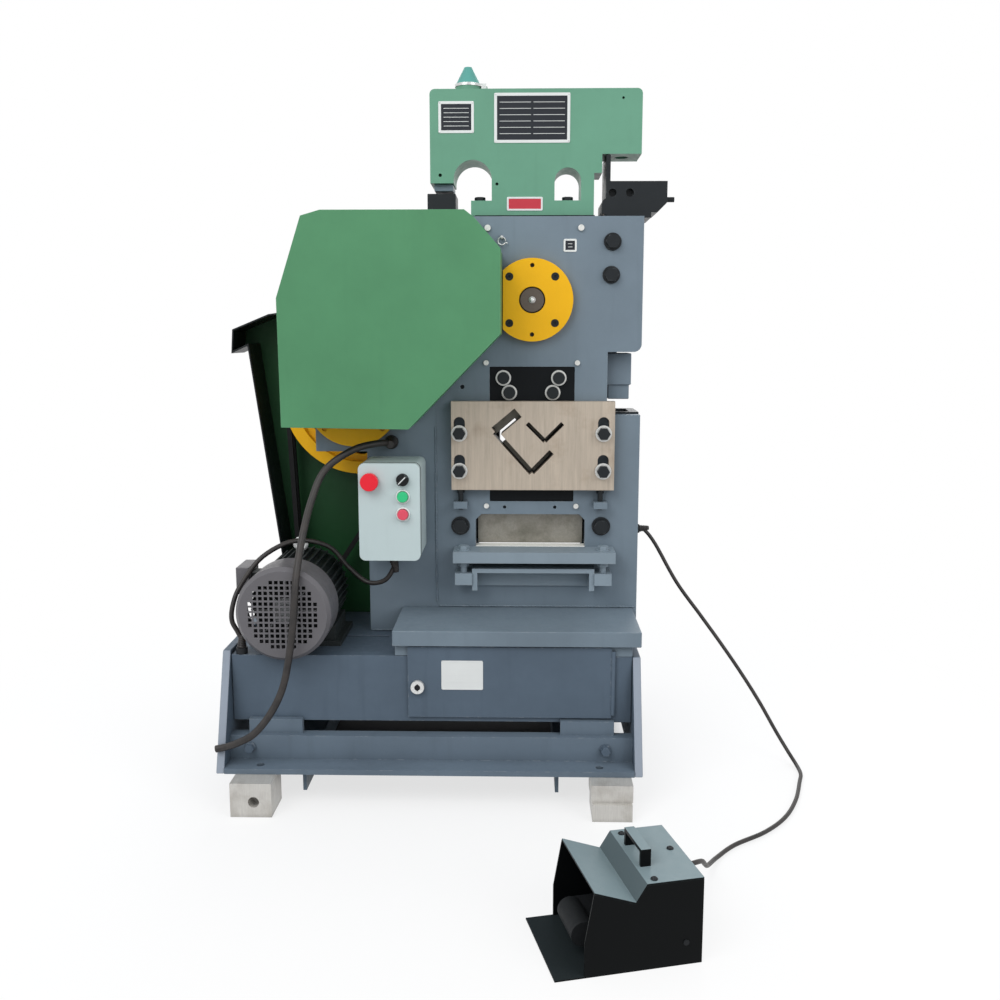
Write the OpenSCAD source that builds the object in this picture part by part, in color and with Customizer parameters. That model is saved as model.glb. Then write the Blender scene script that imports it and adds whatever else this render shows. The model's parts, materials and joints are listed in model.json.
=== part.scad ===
// Mechanical ironworker: a two-plate frame on a welded base, a geared crank drive at the left,
// punching, notching, section and flat-bar stations at the right, and a foot switch on its cable.
// Millimetres, X to the right, Y to the back, Z up; the origin is the base centre on the floor.

/* [Frame] */
// Width of the main frame plates
frame_w = 478; // [470:1:486]
// Height of the frame's top edge above the floor
frame_top = 1296; // [1290:1:1300]
// Distance of the frame's front face in front of the origin
frame_front = 130; // [126:1:134]
// Thickness of each frame plate
plate_t = 35; // [30:1:38]
// Clear depth between the two frame plates
cavity_d = 130; // [124:1:136]
// Depth of the notching throat in the right edge
throat_d = 78; // [70:1:84]
// Height of the throat's lower edge
throat_low = 844; // [836:1:850]
// Height of the throat's opening
throat_h = 146; // [140:1:150]

/* [Crank and ram] */
// Crank axis to the right of the origin
crank_x = 224; // [220:1:228]
// Crank axis above the floor
crank_z = 1108; // [1100:1:1116]
// Radius of the crank shaft in its bushes
crank_r = 35; // [32:1:38]
// Throw of the eccentric, half the ram's stroke
throw = 14; // [10:1:15]
// Radius of the eccentric's ring
ring_r = 60; // [56:1:64]
// Width of the ram
ram_w = 290; // [284:1:292]

/* [Punch head] */
// Width of the green head
head_w = 486; // [480:1:490]
// Depth of the head from front to back
head_d = 110; // [100:1:120]
// Height of the head above its foot
head_h = 281; // [270:1:286]
// Punch axis to the right of the crank
punch_dx = 208; // [202:1:212]
// Radius of the punch socket
punch_r = 16; // [12:1:20]

/* [Drive] */
// Flywheel shaft to the left of the crank
fly_dx = 417; // [413:1:421]
// Flywheel shaft below the crank
fly_dz = 228; // [224:1:232]
// Outer radius of the flywheel
fly_r = 188; // [182:1:194]
// Radius of the flywheel shaft
fly_shaft_r = 25; // [22:1:28]
// Radius of the countershaft
counter_r = 24; // [20:1:26]
// Module of the first gear pair
mod_1 = 5; // [4.95:0.05:5.05]
// Module of the second gear pair
mod_2 = 8; // [7.9:0.05:8.1]
// Outer radius of the motor pulley
pulley_r = 42; // [38:1:46]

/* [Motor] */
// Motor axis to the left of the origin
motor_dx = 319; // [315:1:323]
// Shaft height of the motor above the deck
motor_h = 106; // [106:1:110]
// Radius of the fan cowl
cowl_r = 105; // [100:1:106]
// Distance of the cowl face in front of the origin
cowl_front = 380; // [370:1:384]

/* [Base] */
// Half the width of the base box
base_hw = 450; // [440:1:460]
// Half the depth of the base box
base_hd = 330; // [324:1:336]
// Height of the motor deck
deck_z = 320; // [316:1:324]
// Sheet thickness of the base box
base_t = 8; // [6:1:10]
// Thickness of the end plates
end_t = 18; // [14:1:20]
// Height of the packers under the rails
packer_h = 76; // [70:1:80]
// Width of the tool door
door_w = 459; // [440:1:462]
// Height of the tool door
door_h = 164; // [150:1:165]

/* [Control box] */
// Width of the control box
ctrl_w = 138; // [134:1:142]
// Height of the control box
ctrl_h = 221; // [215:1:226]
// Depth of the control box
ctrl_d = 145; // [138:1:150]

/* [Foot switch] */
// Length of the foot switch
pedal_l = 254; // [248:1:260]
// Width of the foot switch
pedal_w = 190; // [184:1:196]
// Height of the foot switch's box
pedal_h = 152; // [146:1:158]
// Sheet thickness of the foot switch
pedal_t = 3; // [2:0.5:4]

/* [Cords] */
// Diameter of the power tail
power_d = 16; // [12:1:16]
// Diameter of the motor lead
lead_d = 11; // [9:1:11]
// Diameter of the foot switch cable
cable_d = 9; // [7:1:9]

/* [Fits] */
// Running clearance between sliding faces
slide_gap = 0.4; // [0.3:0.05:0.6]
// Radial clearance of a shaft in its bush
bush_gap = 0.05; // [0.02:0.01:0.1]
// Clearance of a bolt in its hole
bolt_gap = 0.3; // [0.2:0.1:0.6]

/* [Hidden] */

frame_grey = "#74828f";
base_grey = "#5b6875";
head_green = "#6fa58b";
guard_green = "#5c9b70";
yellow = "#eab020";
black = "#33373b";
steel = "#b5b0a8";
bright = "#d6d4ce";

// Depths of the frame, all along Y
plate_y0 = -frame_front;
plate_y1 = plate_y0 + plate_t;
rear_y0 = plate_y1 + cavity_d;
rear_y1 = rear_y0 + plate_t;
mid_y = (plate_y1 + rear_y0) / 2;

// Edges of the frame, from the crank
edge_dx = 254;
frame_x1 = crank_x + edge_dx;
frame_x0 = frame_x1 - frame_w;
throat_x = frame_x1 - throat_d;
throat_top = throat_low + throat_h;

// Ram, at the bottom of its stroke
stroke = 2 * throw;
ram_x0 = crank_x - 134;
ram_x1 = ram_x0 + ram_w;
gib_t = 5;
ram_y0 = plate_y1 + slide_gap;
ram_y1 = rear_y0 - slide_gap;
foot_z = frame_top + 6;
ram_low = 536;
yoke_room = 1;
yoke_hw = ring_r + throw + yoke_room;
yoke_z0 = crank_z - throw - ring_r - stroke - yoke_room;
yoke_z1 = crank_z + throw + ring_r + yoke_room;

// Section station, cut through the plate, the holder, the blade and the ram behind them
sec_x = 227;
sec_z = 770;
sec_win_x0 = 127;
sec_win_x1 = 323;
sec_win_z0 = 640;
sec_win_z1 = 955;
blade_t = 30;
sec_plate_t = 28;
sec_plate_x0 = 37;
sec_plate_x1 = 417;
sec_plate_z0 = 670;
sec_plate_z1 = 877;
slot_travel = 15;
slot_spare = 10;
slot_r = 13;
clamp_r = 19;
jack_xs = [58, 386];
jack_y = plate_y0 - sec_plate_t / 2 - 1;
jack_r = 6;
lug_z1 = sec_plate_z0 - 9 - slot_travel - 4;
lug_z0 = lug_z1 - 16;
sec_bolts = [[56, 715], [56, 803], [391, 715], [391, 803]];
holder_bolts = [[158, 930], [287, 930], [172, 896], [273, 896]];
holder_washer_r = 18;

// Flat-bar station
strip_x0 = 92;
strip_x1 = 352;
strip_z0 = 531;
strip_z1 = 608;
strip_chamfer = 14;
strip_blade_h = 20;

// Black bolts and screws on the front face: place and head radius
cap_bolts = [[56, 580, 22], [390, 580, 22], [407, 1239, 20], [405, 1165, 20]];
screws = [[122, 1270, 7], [335, 1270, 7], [118, 965, 6], [330, 965, 6], [118, 628, 6], [330, 628, 6]];

// Small drilled holes in the front plate and in the head: place and radius
plate_holes = [[161, 625, 4], [280, 625, 4], [62, 909, 5]];
head_holes = [[11, 1393, 4], [142, 1373, 3.5], [430, 1562, 3]];
hole_depth = 18;

// Gears: tooth counts and centres
teeth_a = 17;
teeth_b = 75;
teeth_c = 24;
teeth_d = 58;
centre_1 = mod_1 * (teeth_a + teeth_b) / 2;
centre_2 = mod_2 * (teeth_c + teeth_d) / 2;
fly_x = crank_x - fly_dx;
fly_z = crank_z - fly_dz;
span = sqrt(fly_dx * fly_dx + fly_dz * fly_dz);
along = (span * span + centre_1 * centre_1 - centre_2 * centre_2) / (2 * span);
aside = sqrt(centre_1 * centre_1 - along * along);
counter_x = fly_x + (along * fly_dx - aside * fly_dz) / span;
counter_z = fly_z + (along * fly_dz + aside * fly_dx) / span;
mesh_1 = atan2(counter_z - fly_z, counter_x - fly_x);
mesh_2 = atan2(crank_z - counter_z, crank_x - counter_x);
gear_1_y0 = -290;
gear_1_w = 40;
gear_2_y0 = rear_y1 + 10;
gear_2_w = 60;

// Drive bracket plates, left of the frame
bracket_t = 25;
leg_w = 164;
bracket_y = rear_y1 - bracket_t;

// Belt drive between the bracket plates
belt_y0 = -40;
belt_w = 60;
groove_d = 14;
belt_h = 11;
belt_b = 10;
groove_w = belt_b + 2;
belt_lift = 1;
belt_ys = [belt_y0 + 15, belt_y0 + 45];
motor_x = -motor_dx;
motor_z = deck_z + motor_h;
motor_shaft_r = 14;
motor_y0 = -cowl_front;
cowl_l = 90;
motor_y1 = -75;

// Green guard in front of the first gear pair
guard_y = -310;
guard_t = 3;
guard_pts = [[-270, 1279], [-327, 1107], [-325, 829], [-46, 825], [155, 1031], [155, 1211], [99, 1275],
    [78, 1291], [-228, 1291]];
flange_r = 94;
flange_t = 20;
flange_cut = 157;
flange_bolts = [for (a = [45 : 90 : 315]) [crank_x + 74 * cos(a), crank_z + 74 * sin(a)]];
fly_cap_r = 110;
cap_t = 14;

// Base levels
rail_h = 67;
rail_t = 12;
rail_z1 = packer_h + rail_h;
box_z0 = rail_z1 + 24;
rail_y = base_hd + 20;
flange_y = base_hd + 90;
anchor_x = base_hw - 75;
anchor_y = flange_y - 25;
anchor_r = 9;
end_rise = 10;
deck_t = 12;
slide_ys = [-175, 90];
slide_w = 14;
ledge_x0 = -85;
ledge_z = 381;
ledge_y = base_hd + 15;
door_x1 = base_hw - 43;
door_x0 = door_x1 - door_w;
door_z0 = box_z0 + 12;
door_t = 6;
hinge_r = 5;
lock_x = door_x0 + 22;
lock_z = 251;

// Control box and its buttons
ctrl_x0 = frame_x0 - leg_w;
ctrl_z0 = 525;
ctrl_y1 = plate_y0;
ctrl_y0 = ctrl_y1 - ctrl_d;
ctrl_t = 4;
stem_r = 8;
e_stop_at = [ctrl_x0 + 27, ctrl_z0 + 181];
selector_at = [ctrl_x0 + 100, ctrl_z0 + 185];
start_at = [ctrl_x0 + 100, ctrl_z0 + 147];
stop_at = [ctrl_x0 + 100, ctrl_z0 + 107];
press = 4;

// Foot switch on the floor
pedal_at = [358, -917, 0];
pedal_turn = 14;
function pedal_point(x, y, z) = pedal_at
    + [x * cos(pedal_turn) - y * sin(pedal_turn), x * sin(pedal_turn) + y * cos(pedal_turn), z];
treadle_x = 98;
treadle_z = 40;
pin_r = 5;

// Cord routes, gland face to gland face
gland_l = 14;
frame_gland = [frame_x1, -35, 557];
pedal_gland_y = 45;
pedal_gland_z = 95;
power_gland = [fly_x + 88, plate_y0, fly_z - 100];
ctrl_gland = [ctrl_x0 + 69, -205, ctrl_z0];
deck_gland = [-428, -318, deck_z];
cable_route = [frame_gland + [gland_l, 0, 0], [504, -35, 554], [531, -40, 520], [585, -50, 425],
    [644, -60, 345], [692, -75, 280], [741, -90, 210], [786, -105, 140], [826, -122, 70], [852, -145, 27],
    [864, -185, 8], [862, -230, 6], [848, -275, 6], [815, -370, 6], [770, -457, 6], [711, -526, 6],
    [637, -583, 6], [590, -640, 8], [562, -700, 24], [546, -755, 55], [532, -798, 84], [512, -826, 95],
    [494, -836, 95], pedal_point(pedal_l / 2 + gland_l, pedal_gland_y, pedal_gland_z)];
power_route = [power_gland - [0, gland_l, 0], [-106, -168, 780], [-128, -205, 784], [-180, -232, 772],
    [-240, -255, 730], [-266, -290, 666], [-278, -352, 585], [-284, -396, 506], [-289, -408, 424],
    [-301, -412, 336], [-317, -414, 268], [-343, -424, 215], [-377, -432, 174], [-415, -424, 150],
    [-445, -413, 136], [-468, -411, 130]];
lead_route = [ctrl_gland - [0, 0, gland_l], [-95, -205, 495], [-118, -200, 462], [-160, -190, 455],
    [-205, -185, 490], [-250, -190, 540], [-320, -225, 560], [-388, -265, 530], [-432, -295, 470],
    [-446, -312, 430], [-448, -318, 396], [-436, -318, 370], [-428, -318, 352],
    deck_gland + [0, 0, gland_l]];

// Smooth route through points
function blend_point(a, b, c, d, t) =
    0.5 * (2 * b + (c - a) * t + (2 * a - 5 * b + 4 * c - d) * t * t + (3 * b - a - 3 * c + d) * t * t * t);
function smooth(p, k) = concat([for (i = [0 : len(p) - 2], j = [0 : k - 1])
    blend_point(p[max(i - 1, 0)], p[i], p[i + 1], p[min(i + 2, len(p) - 1)], j / k)], [p[len(p) - 1]]);
function unit(v) = v / norm(v);
function heading(p, i) = unit(p[min(i + 1, len(p) - 1)] - p[max(i - 1, 0)]);

// Outline drawn inward by a wall thickness, for a convex outline wound anticlockwise
function edge_in(p, i, t) = let (d = unit(p[(i + 1) % len(p)] - p[i])) [p[i] + t * [-d[1], d[0]], d];
function crossing(e, f) =
    let (w = f[0] - e[0], k = (w[0] * f[1][1] - w[1] * f[1][0]) / (e[1][0] * f[1][1] - e[1][1] * f[1][0]))
    e[0] + k * e[1];
function inset(p, t) = [for (i = [0 : len(p) - 1])
    crossing(edge_in(p, (i + len(p) - 1) % len(p), t), edge_in(p, i, t))];

// Open path drawn sideways by a wall thickness
function path_in(p, t) = [for (i = [0 : len(p) - 1])
    i == 0 ? edge_in(p, 0, t)[0]
    : i == len(p) - 1 ? edge_in(p, i - 1, t)[0] + p[i] - p[i - 1]
    : crossing(edge_in(p, i - 1, t), edge_in(p, i, t))];

flank = [[-0.3, -1.1], [-0.16, 0.75], [0.16, 0.75], [0.3, -1.1]];
function gear_outline(n, m) = [for (i = [0 : n - 1], s = flank)
    let (r = m * (n / 2 + s[1]), a = 360 * (i + s[0]) / n) [r * cos(a), r * sin(a)]];

// A flat outline in X and Z, stood up between two depths
module upright(y0, y1) {
    translate([0, y1, 0]) rotate([90, 0, 0]) linear_extrude(y1 - y0) children();
}

module rod_y(x, z, r, y0, y1) {
    translate([x, y1, z]) rotate([90, 0, 0]) cylinder(r = r, h = y1 - y0, $fn = 64);
}

module rod_z(x, y, r, z0, z1) {
    translate([x, y, z0]) cylinder(r = r, h = z1 - z0, $fn = 48);
}

module rod_x(y, z, r, x0, x1) {
    translate([x0, y, z]) rotate([0, 90, 0]) cylinder(r = r, h = x1 - x0, $fn = 48);
}

module box(x0, x1, y0, y1, z0, z1) {
    translate([x0, y0, z0]) cube([x1 - x0, y1 - y0, z1 - z0]);
}

// Rectangle with round corners, in X and Z
module round_rect(x0, x1, z0, z1, r) {
    translate([x0 + r, z0]) square([x1 - x0 - 2 * r, z1 - z0]);
    translate([x0, z0 + r]) square([x1 - x0, z1 - z0 - 2 * r]);
    for (x = [x0 + r, x1 - r], z = [z0 + r, z1 - r]) translate([x, z]) circle(r = r, $fn = 32);
}

// Slot with round ends, standing upright, in X and Z
module slot(x, z0, z1, r) {
    translate([x - r, z0]) square([2 * r, z1 - z0]);
    for (z = [z0, z1]) translate([x, z]) circle(r = r, $fn = 32);
}

// Hex head with a washer, facing the front, its shank set into the plate behind
module hex_bolt(x, z, r, y, shank) {
    washer_t = 4;
    head_t = 12;
    rod_y(x, z, r, y - washer_t, y);
    translate([x, y - washer_t, z]) rotate([90, 0, 0]) cylinder(r = 0.82 * r, h = head_t, $fn = 6);
    if (shank > 0) rod_y(x, z, r * 0.5, y, y + shank);
}

module bolt_hole(x, z, r, y, depth) {
    rod_y(x, z, r * 0.5 + bolt_gap, y - 1, y + depth + 1);
}

// Cord along a route, its end faces square to the ways that it leaves and arrives
module cord_tube(route, d, sides, leaves, arrives) {
    n = len(route);
    ways = [for (i = [0 : n - 1]) i == 0 ? leaves : i == n - 1 ? arrives : heading(route, i)];
    points = [for (i = [0 : n - 1], k = [0 : sides - 1])
        let (t = ways[i], u = unit(cross(t, [0.31, 0.52, 0.79])), v = cross(t, u))
        let (a = 360 * k / sides)
        route[i] + d / 2 * (cos(a) * u + sin(a) * v)];
    walls = [for (i = [0 : n - 2], k = [0 : sides - 1])
        let (a = i * sides + k, b = i * sides + (k + 1) % sides)
        each [[a, b, a + sides], [b, b + sides, a + sides]]];
    ends = [for (k = [1 : sides - 2])
        each [[0, k + 1, k], [(n - 1) * sides, (n - 1) * sides + k, (n - 1) * sides + k + 1]]];
    polyhedron(points, concat(walls, ends));
}

module frame_outline() {
    corner_r = 18;
    difference() {
        translate([frame_x0, deck_z]) square([frame_w, frame_top - deck_z]);
        translate([throat_x, throat_low]) square([throat_d + 1, throat_h]);
        translate([frame_x1 - corner_r, throat_top - 1]) difference() {
            square([corner_r + 1, corner_r + 1]);
            translate([0, corner_r + 1]) circle(r = corner_r, $fn = 48);
        }
    }
}

module strip_window(grow) {
    polygon([[strip_x0 - grow, strip_z0 - strip_blade_h], [strip_x1 + grow, strip_z0 - strip_blade_h],
        [strip_x1 + grow, strip_z1 - strip_chamfer], [strip_x1 + grow - strip_chamfer, strip_z1],
        [strip_x0 - grow + strip_chamfer, strip_z1], [strip_x0 - grow, strip_z1 - strip_chamfer]]);
}

// Section cut-outs: a channel shape turned on its corner, and a V for angle bar, grown by a clearance
module section_cuts(g) {
    leg = 14 + g;
    module bar(x, z, turn, length, wide) {
        translate([x, z]) rotate(turn) translate([-g, -wide / 2]) square([length + 2 * g, wide]);
    }
    bar(139, 806, -48, 128, leg);
    bar(139, 806, 40, 70, 26 + g);
    bar(225, 712, 46, 66, leg);
    bar(255, 785, 135, 58, 10 + g);
    bar(255, 785, 45, 58, 10 + g);
}

module front_plate() color(frame_grey) {
    lug_d = 34;
    difference() {
        union() {
            upright(plate_y0, plate_y1) frame_outline();
            for (x = jack_xs) box(x - 16, x + 16, plate_y0 - lug_d, plate_y0, lug_z0, lug_z1);
        }
        rod_y(crank_x, crank_z, crank_r + 13, plate_y0 - 1, plate_y1 + 1);
        box(sec_win_x0 - 1, sec_win_x1 + 1, plate_y0 - 1, plate_y1 + 1, sec_win_z0 - 1, sec_win_z1 + 1);
        upright(plate_y0 - 1, plate_y1 + 1) strip_window(0);
        for (b = cap_bolts) bolt_hole(b[0], b[1], b[2], plate_y0, 25);
        for (b = screws) bolt_hole(b[0], b[1], b[2], plate_y0, 12);
        for (b = sec_bolts) rod_y(b[0], b[1], slot_r - 2 + bolt_gap, plate_y0 - 1, plate_y0 + 26);
        for (x = jack_xs) rod_z(x, jack_y, jack_r + bolt_gap, lug_z0 - 1, lug_z1 + 1);
        for (b = flange_bolts) rod_y(b[0], b[1], 6 + bolt_gap, plate_y0 - 1, plate_y0 + 21);
        for (h = plate_holes) rod_y(h[0], h[1], h[2], plate_y0 - 1, plate_y0 + hole_depth);
    }
}

module rear_plate() color(frame_grey) difference() {
    upright(rear_y0, rear_y1) frame_outline();
    rod_y(crank_x, crank_z, crank_r + 13, rear_y0 - 1, rear_y1 + 1);
    box(ram_x0 + 30, ram_x1 - 30, rear_y0 - 1, rear_y1 + 1, sec_win_z0 + 20, sec_win_z1 - 45);
    box(strip_x0, strip_x1, rear_y0 - 1, rear_y1 + 1, strip_z0 - 90, strip_z1);
}

module frame_spacers() color(frame_grey) {
    arm_z0 = throat_top - 84;
    box(frame_x0, ram_x0 - gib_t, plate_y1, rear_y0, deck_z, frame_top);
    difference() {
        box(ram_x1 + gib_t, frame_x1, plate_y1, rear_y0, deck_z, frame_top);
        box(throat_x, frame_x1 + 1, plate_y1 - 1, rear_y0 + 1, throat_low - 44, throat_top + stroke + 6);
        box(ram_x1, frame_x1, plate_y1 - 1, rear_y0 + 1, arm_z0, throat_top + stroke + 6);
        rod_x(frame_gland[1], frame_gland[2], 6, frame_x1 - 60, frame_x1 + 1);
    }
}

module ram_gibs() color("#8c6a3a") {
    for (x = [ram_x0 - gib_t, ram_x1 + slide_gap]) difference() {
        box(x, x + gib_t - slide_gap, plate_y1 + 5, rear_y0 - 5, ram_low + 40, frame_top - 2);
        box(ram_x1 - 1, ram_x1 + gib_t + 1, plate_y1, rear_y0, throat_top - 84, throat_top + stroke + 6);
    }
}

module drive_bracket() color(frame_grey) {
    for (y = [plate_y0, bracket_y]) difference() {
        upright(y, y + bracket_t) polygon([[frame_x0 - leg_w, deck_z], [frame_x0, deck_z],
            [frame_x0, frame_top - 8], [counter_x - 40, frame_top - 8], [fly_x - 92, fly_z + 120],
            [fly_x - 92, fly_z - 123], [frame_x0 - leg_w, fly_z - 123]]);
        rod_y(fly_x, fly_z, fly_shaft_r + 15, y - 1, y + bracket_t + 1);
        rod_y(counter_x, counter_z, counter_r + 15, y - 1, y + bracket_t + 1);
    }
}

module base_box() color(base_grey) difference() {
    tray_y = -60;
    box(-base_hw, base_hw, -base_hd, base_hd, box_z0, deck_z);
    difference() {
        box(-base_hw + base_t, base_hw - base_t, -base_hd + base_t, base_hd - base_t, box_z0 - 1,
            deck_z - deck_t);
        difference() {
            box(door_x0 - 12, door_x0 + door_w, -base_hd, tray_y, box_z0, deck_z);
            box(door_x0 - 4, door_x0 + door_w - 8, -base_hd - 1, tray_y - base_t, box_z0 + base_t, deck_z);
        }
    }
    box(door_x0 + 8, door_x0 + door_w - 12, -base_hd - 1, -base_hd + base_t + 1, door_z0 + 12, deck_z - 22);
    for (y = slide_ys) box(motor_x + 57, motor_x + 207, y - slide_w / 2, y + slide_w / 2, deck_z - deck_t - 1,
        deck_z + 1);
}

module base_ledge() color(frame_grey) {
    ledge_t = 10;
    ledge_x1 = base_hw + end_t;
    box(ledge_x0, ledge_x1, -ledge_y, plate_y0, ledge_z - ledge_t, ledge_z);
    box(ledge_x0, ledge_x1, -ledge_y, -ledge_y + ledge_t, ledge_z - 35, ledge_z - ledge_t);
    box(ledge_x0 + 4, ledge_x0 + 12, -base_hd, plate_y0, deck_z, ledge_z - ledge_t);
    box(base_hw - 8, base_hw, -base_hd, plate_y0, deck_z, ledge_z - ledge_t);
    box(ledge_x0 + 12, base_hw - 8, -base_hd, -base_hd + base_t, deck_z, ledge_z - ledge_t);
}

module end_plates() color(base_grey) {
    for (e = [[-base_hw - end_t, deck_z + end_rise], [base_hw, deck_z]]) translate([e[0], 0, 0])
        rotate([90, 0, 90]) linear_extrude(end_t)
            polygon([[-flange_y, packer_h], [flange_y, packer_h], [base_hd, e[1]], [-base_hd, e[1]]]);
}

module base_rails() color(base_grey) {
    foot_t = 8;
    for (s = [0, 1]) mirror([0, s, 0]) {
        box(-base_hw, base_hw, -rail_y - rail_t, -rail_y, packer_h + rail_t, rail_z1);
        difference() {
            box(-base_hw, base_hw, -flange_y, -rail_y, packer_h, packer_h + rail_t);
            anchor_holes();
        }
        box(-base_hw, base_hw, -rail_y, -base_hd, rail_z1 - rail_t, rail_z1);
        for (x = [-base_hw + 40, base_hw - 160]) box(x, x + 120, -base_hd - 16, -base_hd, rail_z1, box_z0 + 8);
    }
    for (x = [-base_hw + 22, base_hw - 172]) difference() {
        box(x, x + 150, -flange_y + 45, flange_y - 45, packer_h - 56, packer_h);
        box(x + foot_t, x + 150 - foot_t, -flange_y, flange_y, packer_h - 57, packer_h - foot_t);
    }
}

// Foundation bolt holes at one side, down through the rail's flange and the packers
module anchor_holes() {
    for (x = [-anchor_x, anchor_x]) rod_z(x, -anchor_y, anchor_r, -1, packer_h + rail_t + 1);
}

module packers() color(bright) {
    for (s = [0, 1]) mirror([0, s, 0]) difference() {
        union() {
            difference() {
                box(-base_hw + 25, -base_hw + 115, -flange_y - 50, -flange_y + 44, 0, packer_h);
                rod_y(-base_hw + 76, packer_h / 2 - 4, 12, -flange_y - 51, -flange_y - 20);
            }
            box(base_hw - 97, base_hw - 7, -flange_y - 44, -flange_y + 44, packer_h / 2, packer_h);
            box(base_hw - 95, base_hw - 9, -flange_y - 56, -flange_y + 40, 0, packer_h / 2);
        }
        anchor_holes();
    }
}

module base_bolts() color("#4c5660") {
    for (s = [0, 1], x = [-base_hw + 45, base_hw - 60]) mirror([0, s, 0])
        hex_bolt(x, packer_h + 40, 13, -rail_y - rail_t, 0);
}

module tool_door() color(base_grey) {
    hinge_x = door_x0 + door_w;
    difference() {
        box(door_x0, hinge_x - 3, -base_hd - door_t - slide_gap, -base_hd - slide_gap, door_z0,
            door_z0 + door_h);
        rod_y(lock_x, lock_z, 10 + bush_gap, -base_hd - door_t - 1, -base_hd);
    }
    rod_z(hinge_x, -base_hd - hinge_r - slide_gap, hinge_r, door_z0 + 8, door_z0 + door_h - 8);
}

module door_lock() color(bright) {
    cam_z = 24;
    rod_y(lock_x, lock_z, 10, -base_hd - door_t - 4, -base_hd + base_t + 1);
    difference() {
        rod_y(lock_x, lock_z, 15, -base_hd - door_t - 10, -base_hd - door_t - slide_gap - 0.4);
        box(lock_x - 1.5, lock_x + 1.5, -base_hd - door_t - 11, -base_hd - door_t - 7, lock_z - 8, lock_z + 8);
    }
    box(lock_x - 8, lock_x + 8, -base_hd + base_t + 1, -base_hd + base_t + 4, lock_z - 8, lock_z + cam_z);
}

module ram_block() color(black) difference() {
    union() {
        box(ram_x0, ram_x1, ram_y0, ram_y1, ram_low, frame_top - 4);
        box(ram_x0 + 2, ram_x1 - 12, ram_y0, ram_y1, frame_top - 4, foot_z);
    }
    box(crank_x - yoke_hw, crank_x + yoke_hw, ram_y0 - 1, ram_y1 + 1, yoke_z0, yoke_z1);
    box(sec_win_x0 + 3, sec_win_x1 - 3, ram_y0 - 1, ram_y0 + blade_t, sec_win_z0, sec_win_z1 - 30);
    box(sec_win_x0 + 20, sec_win_x1 - 20, ram_y0, ram_y1 + 1, sec_win_z0 + 25, sec_win_z1 - 50);
    box(ram_x0 - 1, ram_x1 + 1, ram_y0 - 1, ram_y0 + blade_t, ram_low - 1, sec_win_z0 - 20);
    for (b = head_bolt_places) rod_z(b[0], b[1], 8, foot_z - 50, foot_z + 1);
}

head_bolt_places = [[ram_x0 + 12, mid_y - 30], [ram_x0 + 12, mid_y + 30], [306, mid_y - 30], [306, mid_y + 30]];
window_z = foot_z + 34;
head_x0 = crank_x - head_w / 2 + 7;
head_x1 = head_x0 + head_w;
head_y0 = mid_y - head_d / 2;
head_y1 = mid_y + head_d / 2;
head_z1 = foot_z + head_h;
arm_low = foot_z + 73;
punch_x = crank_x + punch_dx;
overhang_z = foot_z + 137;
step_z = foot_z + 95;
oil_x = crank_x - 150;
cup_r = 30;

module punch_head() color(head_green) difference() {
    upright(head_y0, head_y1) difference() {
        round_rect(head_x0, head_x1, foot_z - 20, head_z1, 12);
        translate([head_x0 - 1, foot_z - 21]) square([head_w + 2, 21]);
        translate([head_x0 - 1, foot_z - 1]) square([ram_x0 - 8 - head_x0 + 1, arm_low - foot_z + 1]);
        translate([ram_x1 - 14, foot_z - 1]) square([head_x1 - ram_x1 + 15, step_z - foot_z + 1]);
        translate([ram_x1 + 4, step_z - 1]) square([head_x1 - ram_x1 - 3, overhang_z - step_z + 1]);
        translate([ram_x0 - 4, window_z + 47]) circle(r = 44, $fn = 64);
        translate([ram_x0 - 48, window_z]) square([88, 47]);
        translate([275, window_z]) square([61, 43]);
        translate([305.5, window_z + 43]) circle(r = 30.5, $fn = 64);
    }
    for (b = head_bolt_places) rod_z(b[0], b[1], 8 + bolt_gap, foot_z - 1, window_z + 1);
    rod_z(punch_x, mid_y, punch_r, overhang_z - 1, overhang_z + 50);
    rod_z(oil_x, mid_y, 12, head_z1 - 40, head_z1 + 1);
    for (h = head_holes) rod_y(h[0], h[1], h[2], head_y0 - 1, head_y0 + hole_depth);
}

module head_bolts() color(black) for (b = head_bolt_places) {
    rod_z(b[0], b[1], 8, foot_z - 45, window_z);
    translate([b[0], b[1], window_z]) cylinder(r = 13, h = 10, $fn = 6);
}

module strip_blade_upper() color("#8f8a82") {
    box(strip_x0 + 4, strip_x1 - 4, ram_y0, ram_y0 + blade_t, strip_z0 + 1, sec_win_z0 - 20);
}

module section_blade() color("#7d7468") difference() {
    box(sec_win_x0 + 3, sec_win_x1 - 3, ram_y0, ram_y0 + blade_t, sec_win_z0, sec_win_z1 - 30);
    upright(ram_y0 - 1, ram_y0 + blade_t + 1) translate([0, -stroke]) section_cuts(slide_gap);
}

module ram_tools() color(frame_grey) {
    tool_y0 = mid_y - 50;
    tool_y1 = mid_y + 50;
    box(ram_x1, throat_x + 60, tool_y0, tool_y1, throat_top - 78, throat_top - 4);
    box(throat_x + 6, throat_x + 56, tool_y0 + 6, tool_y1 - 6, throat_top - 112, throat_top - 78);
    box(head_x0 + 8, head_x0 + 52, mid_y - 40, mid_y + 40, arm_low - 16, arm_low);
}

module oil_cup() color(head_green) difference() {
    union() {
        rod_z(oil_x, mid_y, 12, head_z1 - 36, head_z1);
        rod_z(oil_x, mid_y, cup_r, head_z1, head_z1 + 14);
        box(oil_x + 26, oil_x + 44, mid_y - 8, mid_y + 8, head_z1, head_z1 + 10);
        rod_y(oil_x + 40, head_z1 + 12, 5, mid_y - 8, mid_y + 8);
    }
    rod_z(oil_x, mid_y, cup_r - 6, head_z1 + 3, head_z1 + 15);
    rod_y(oil_x + 40, head_z1 + 12, 2.5 + bush_gap, mid_y - 9, mid_y + 9);
}

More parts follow.
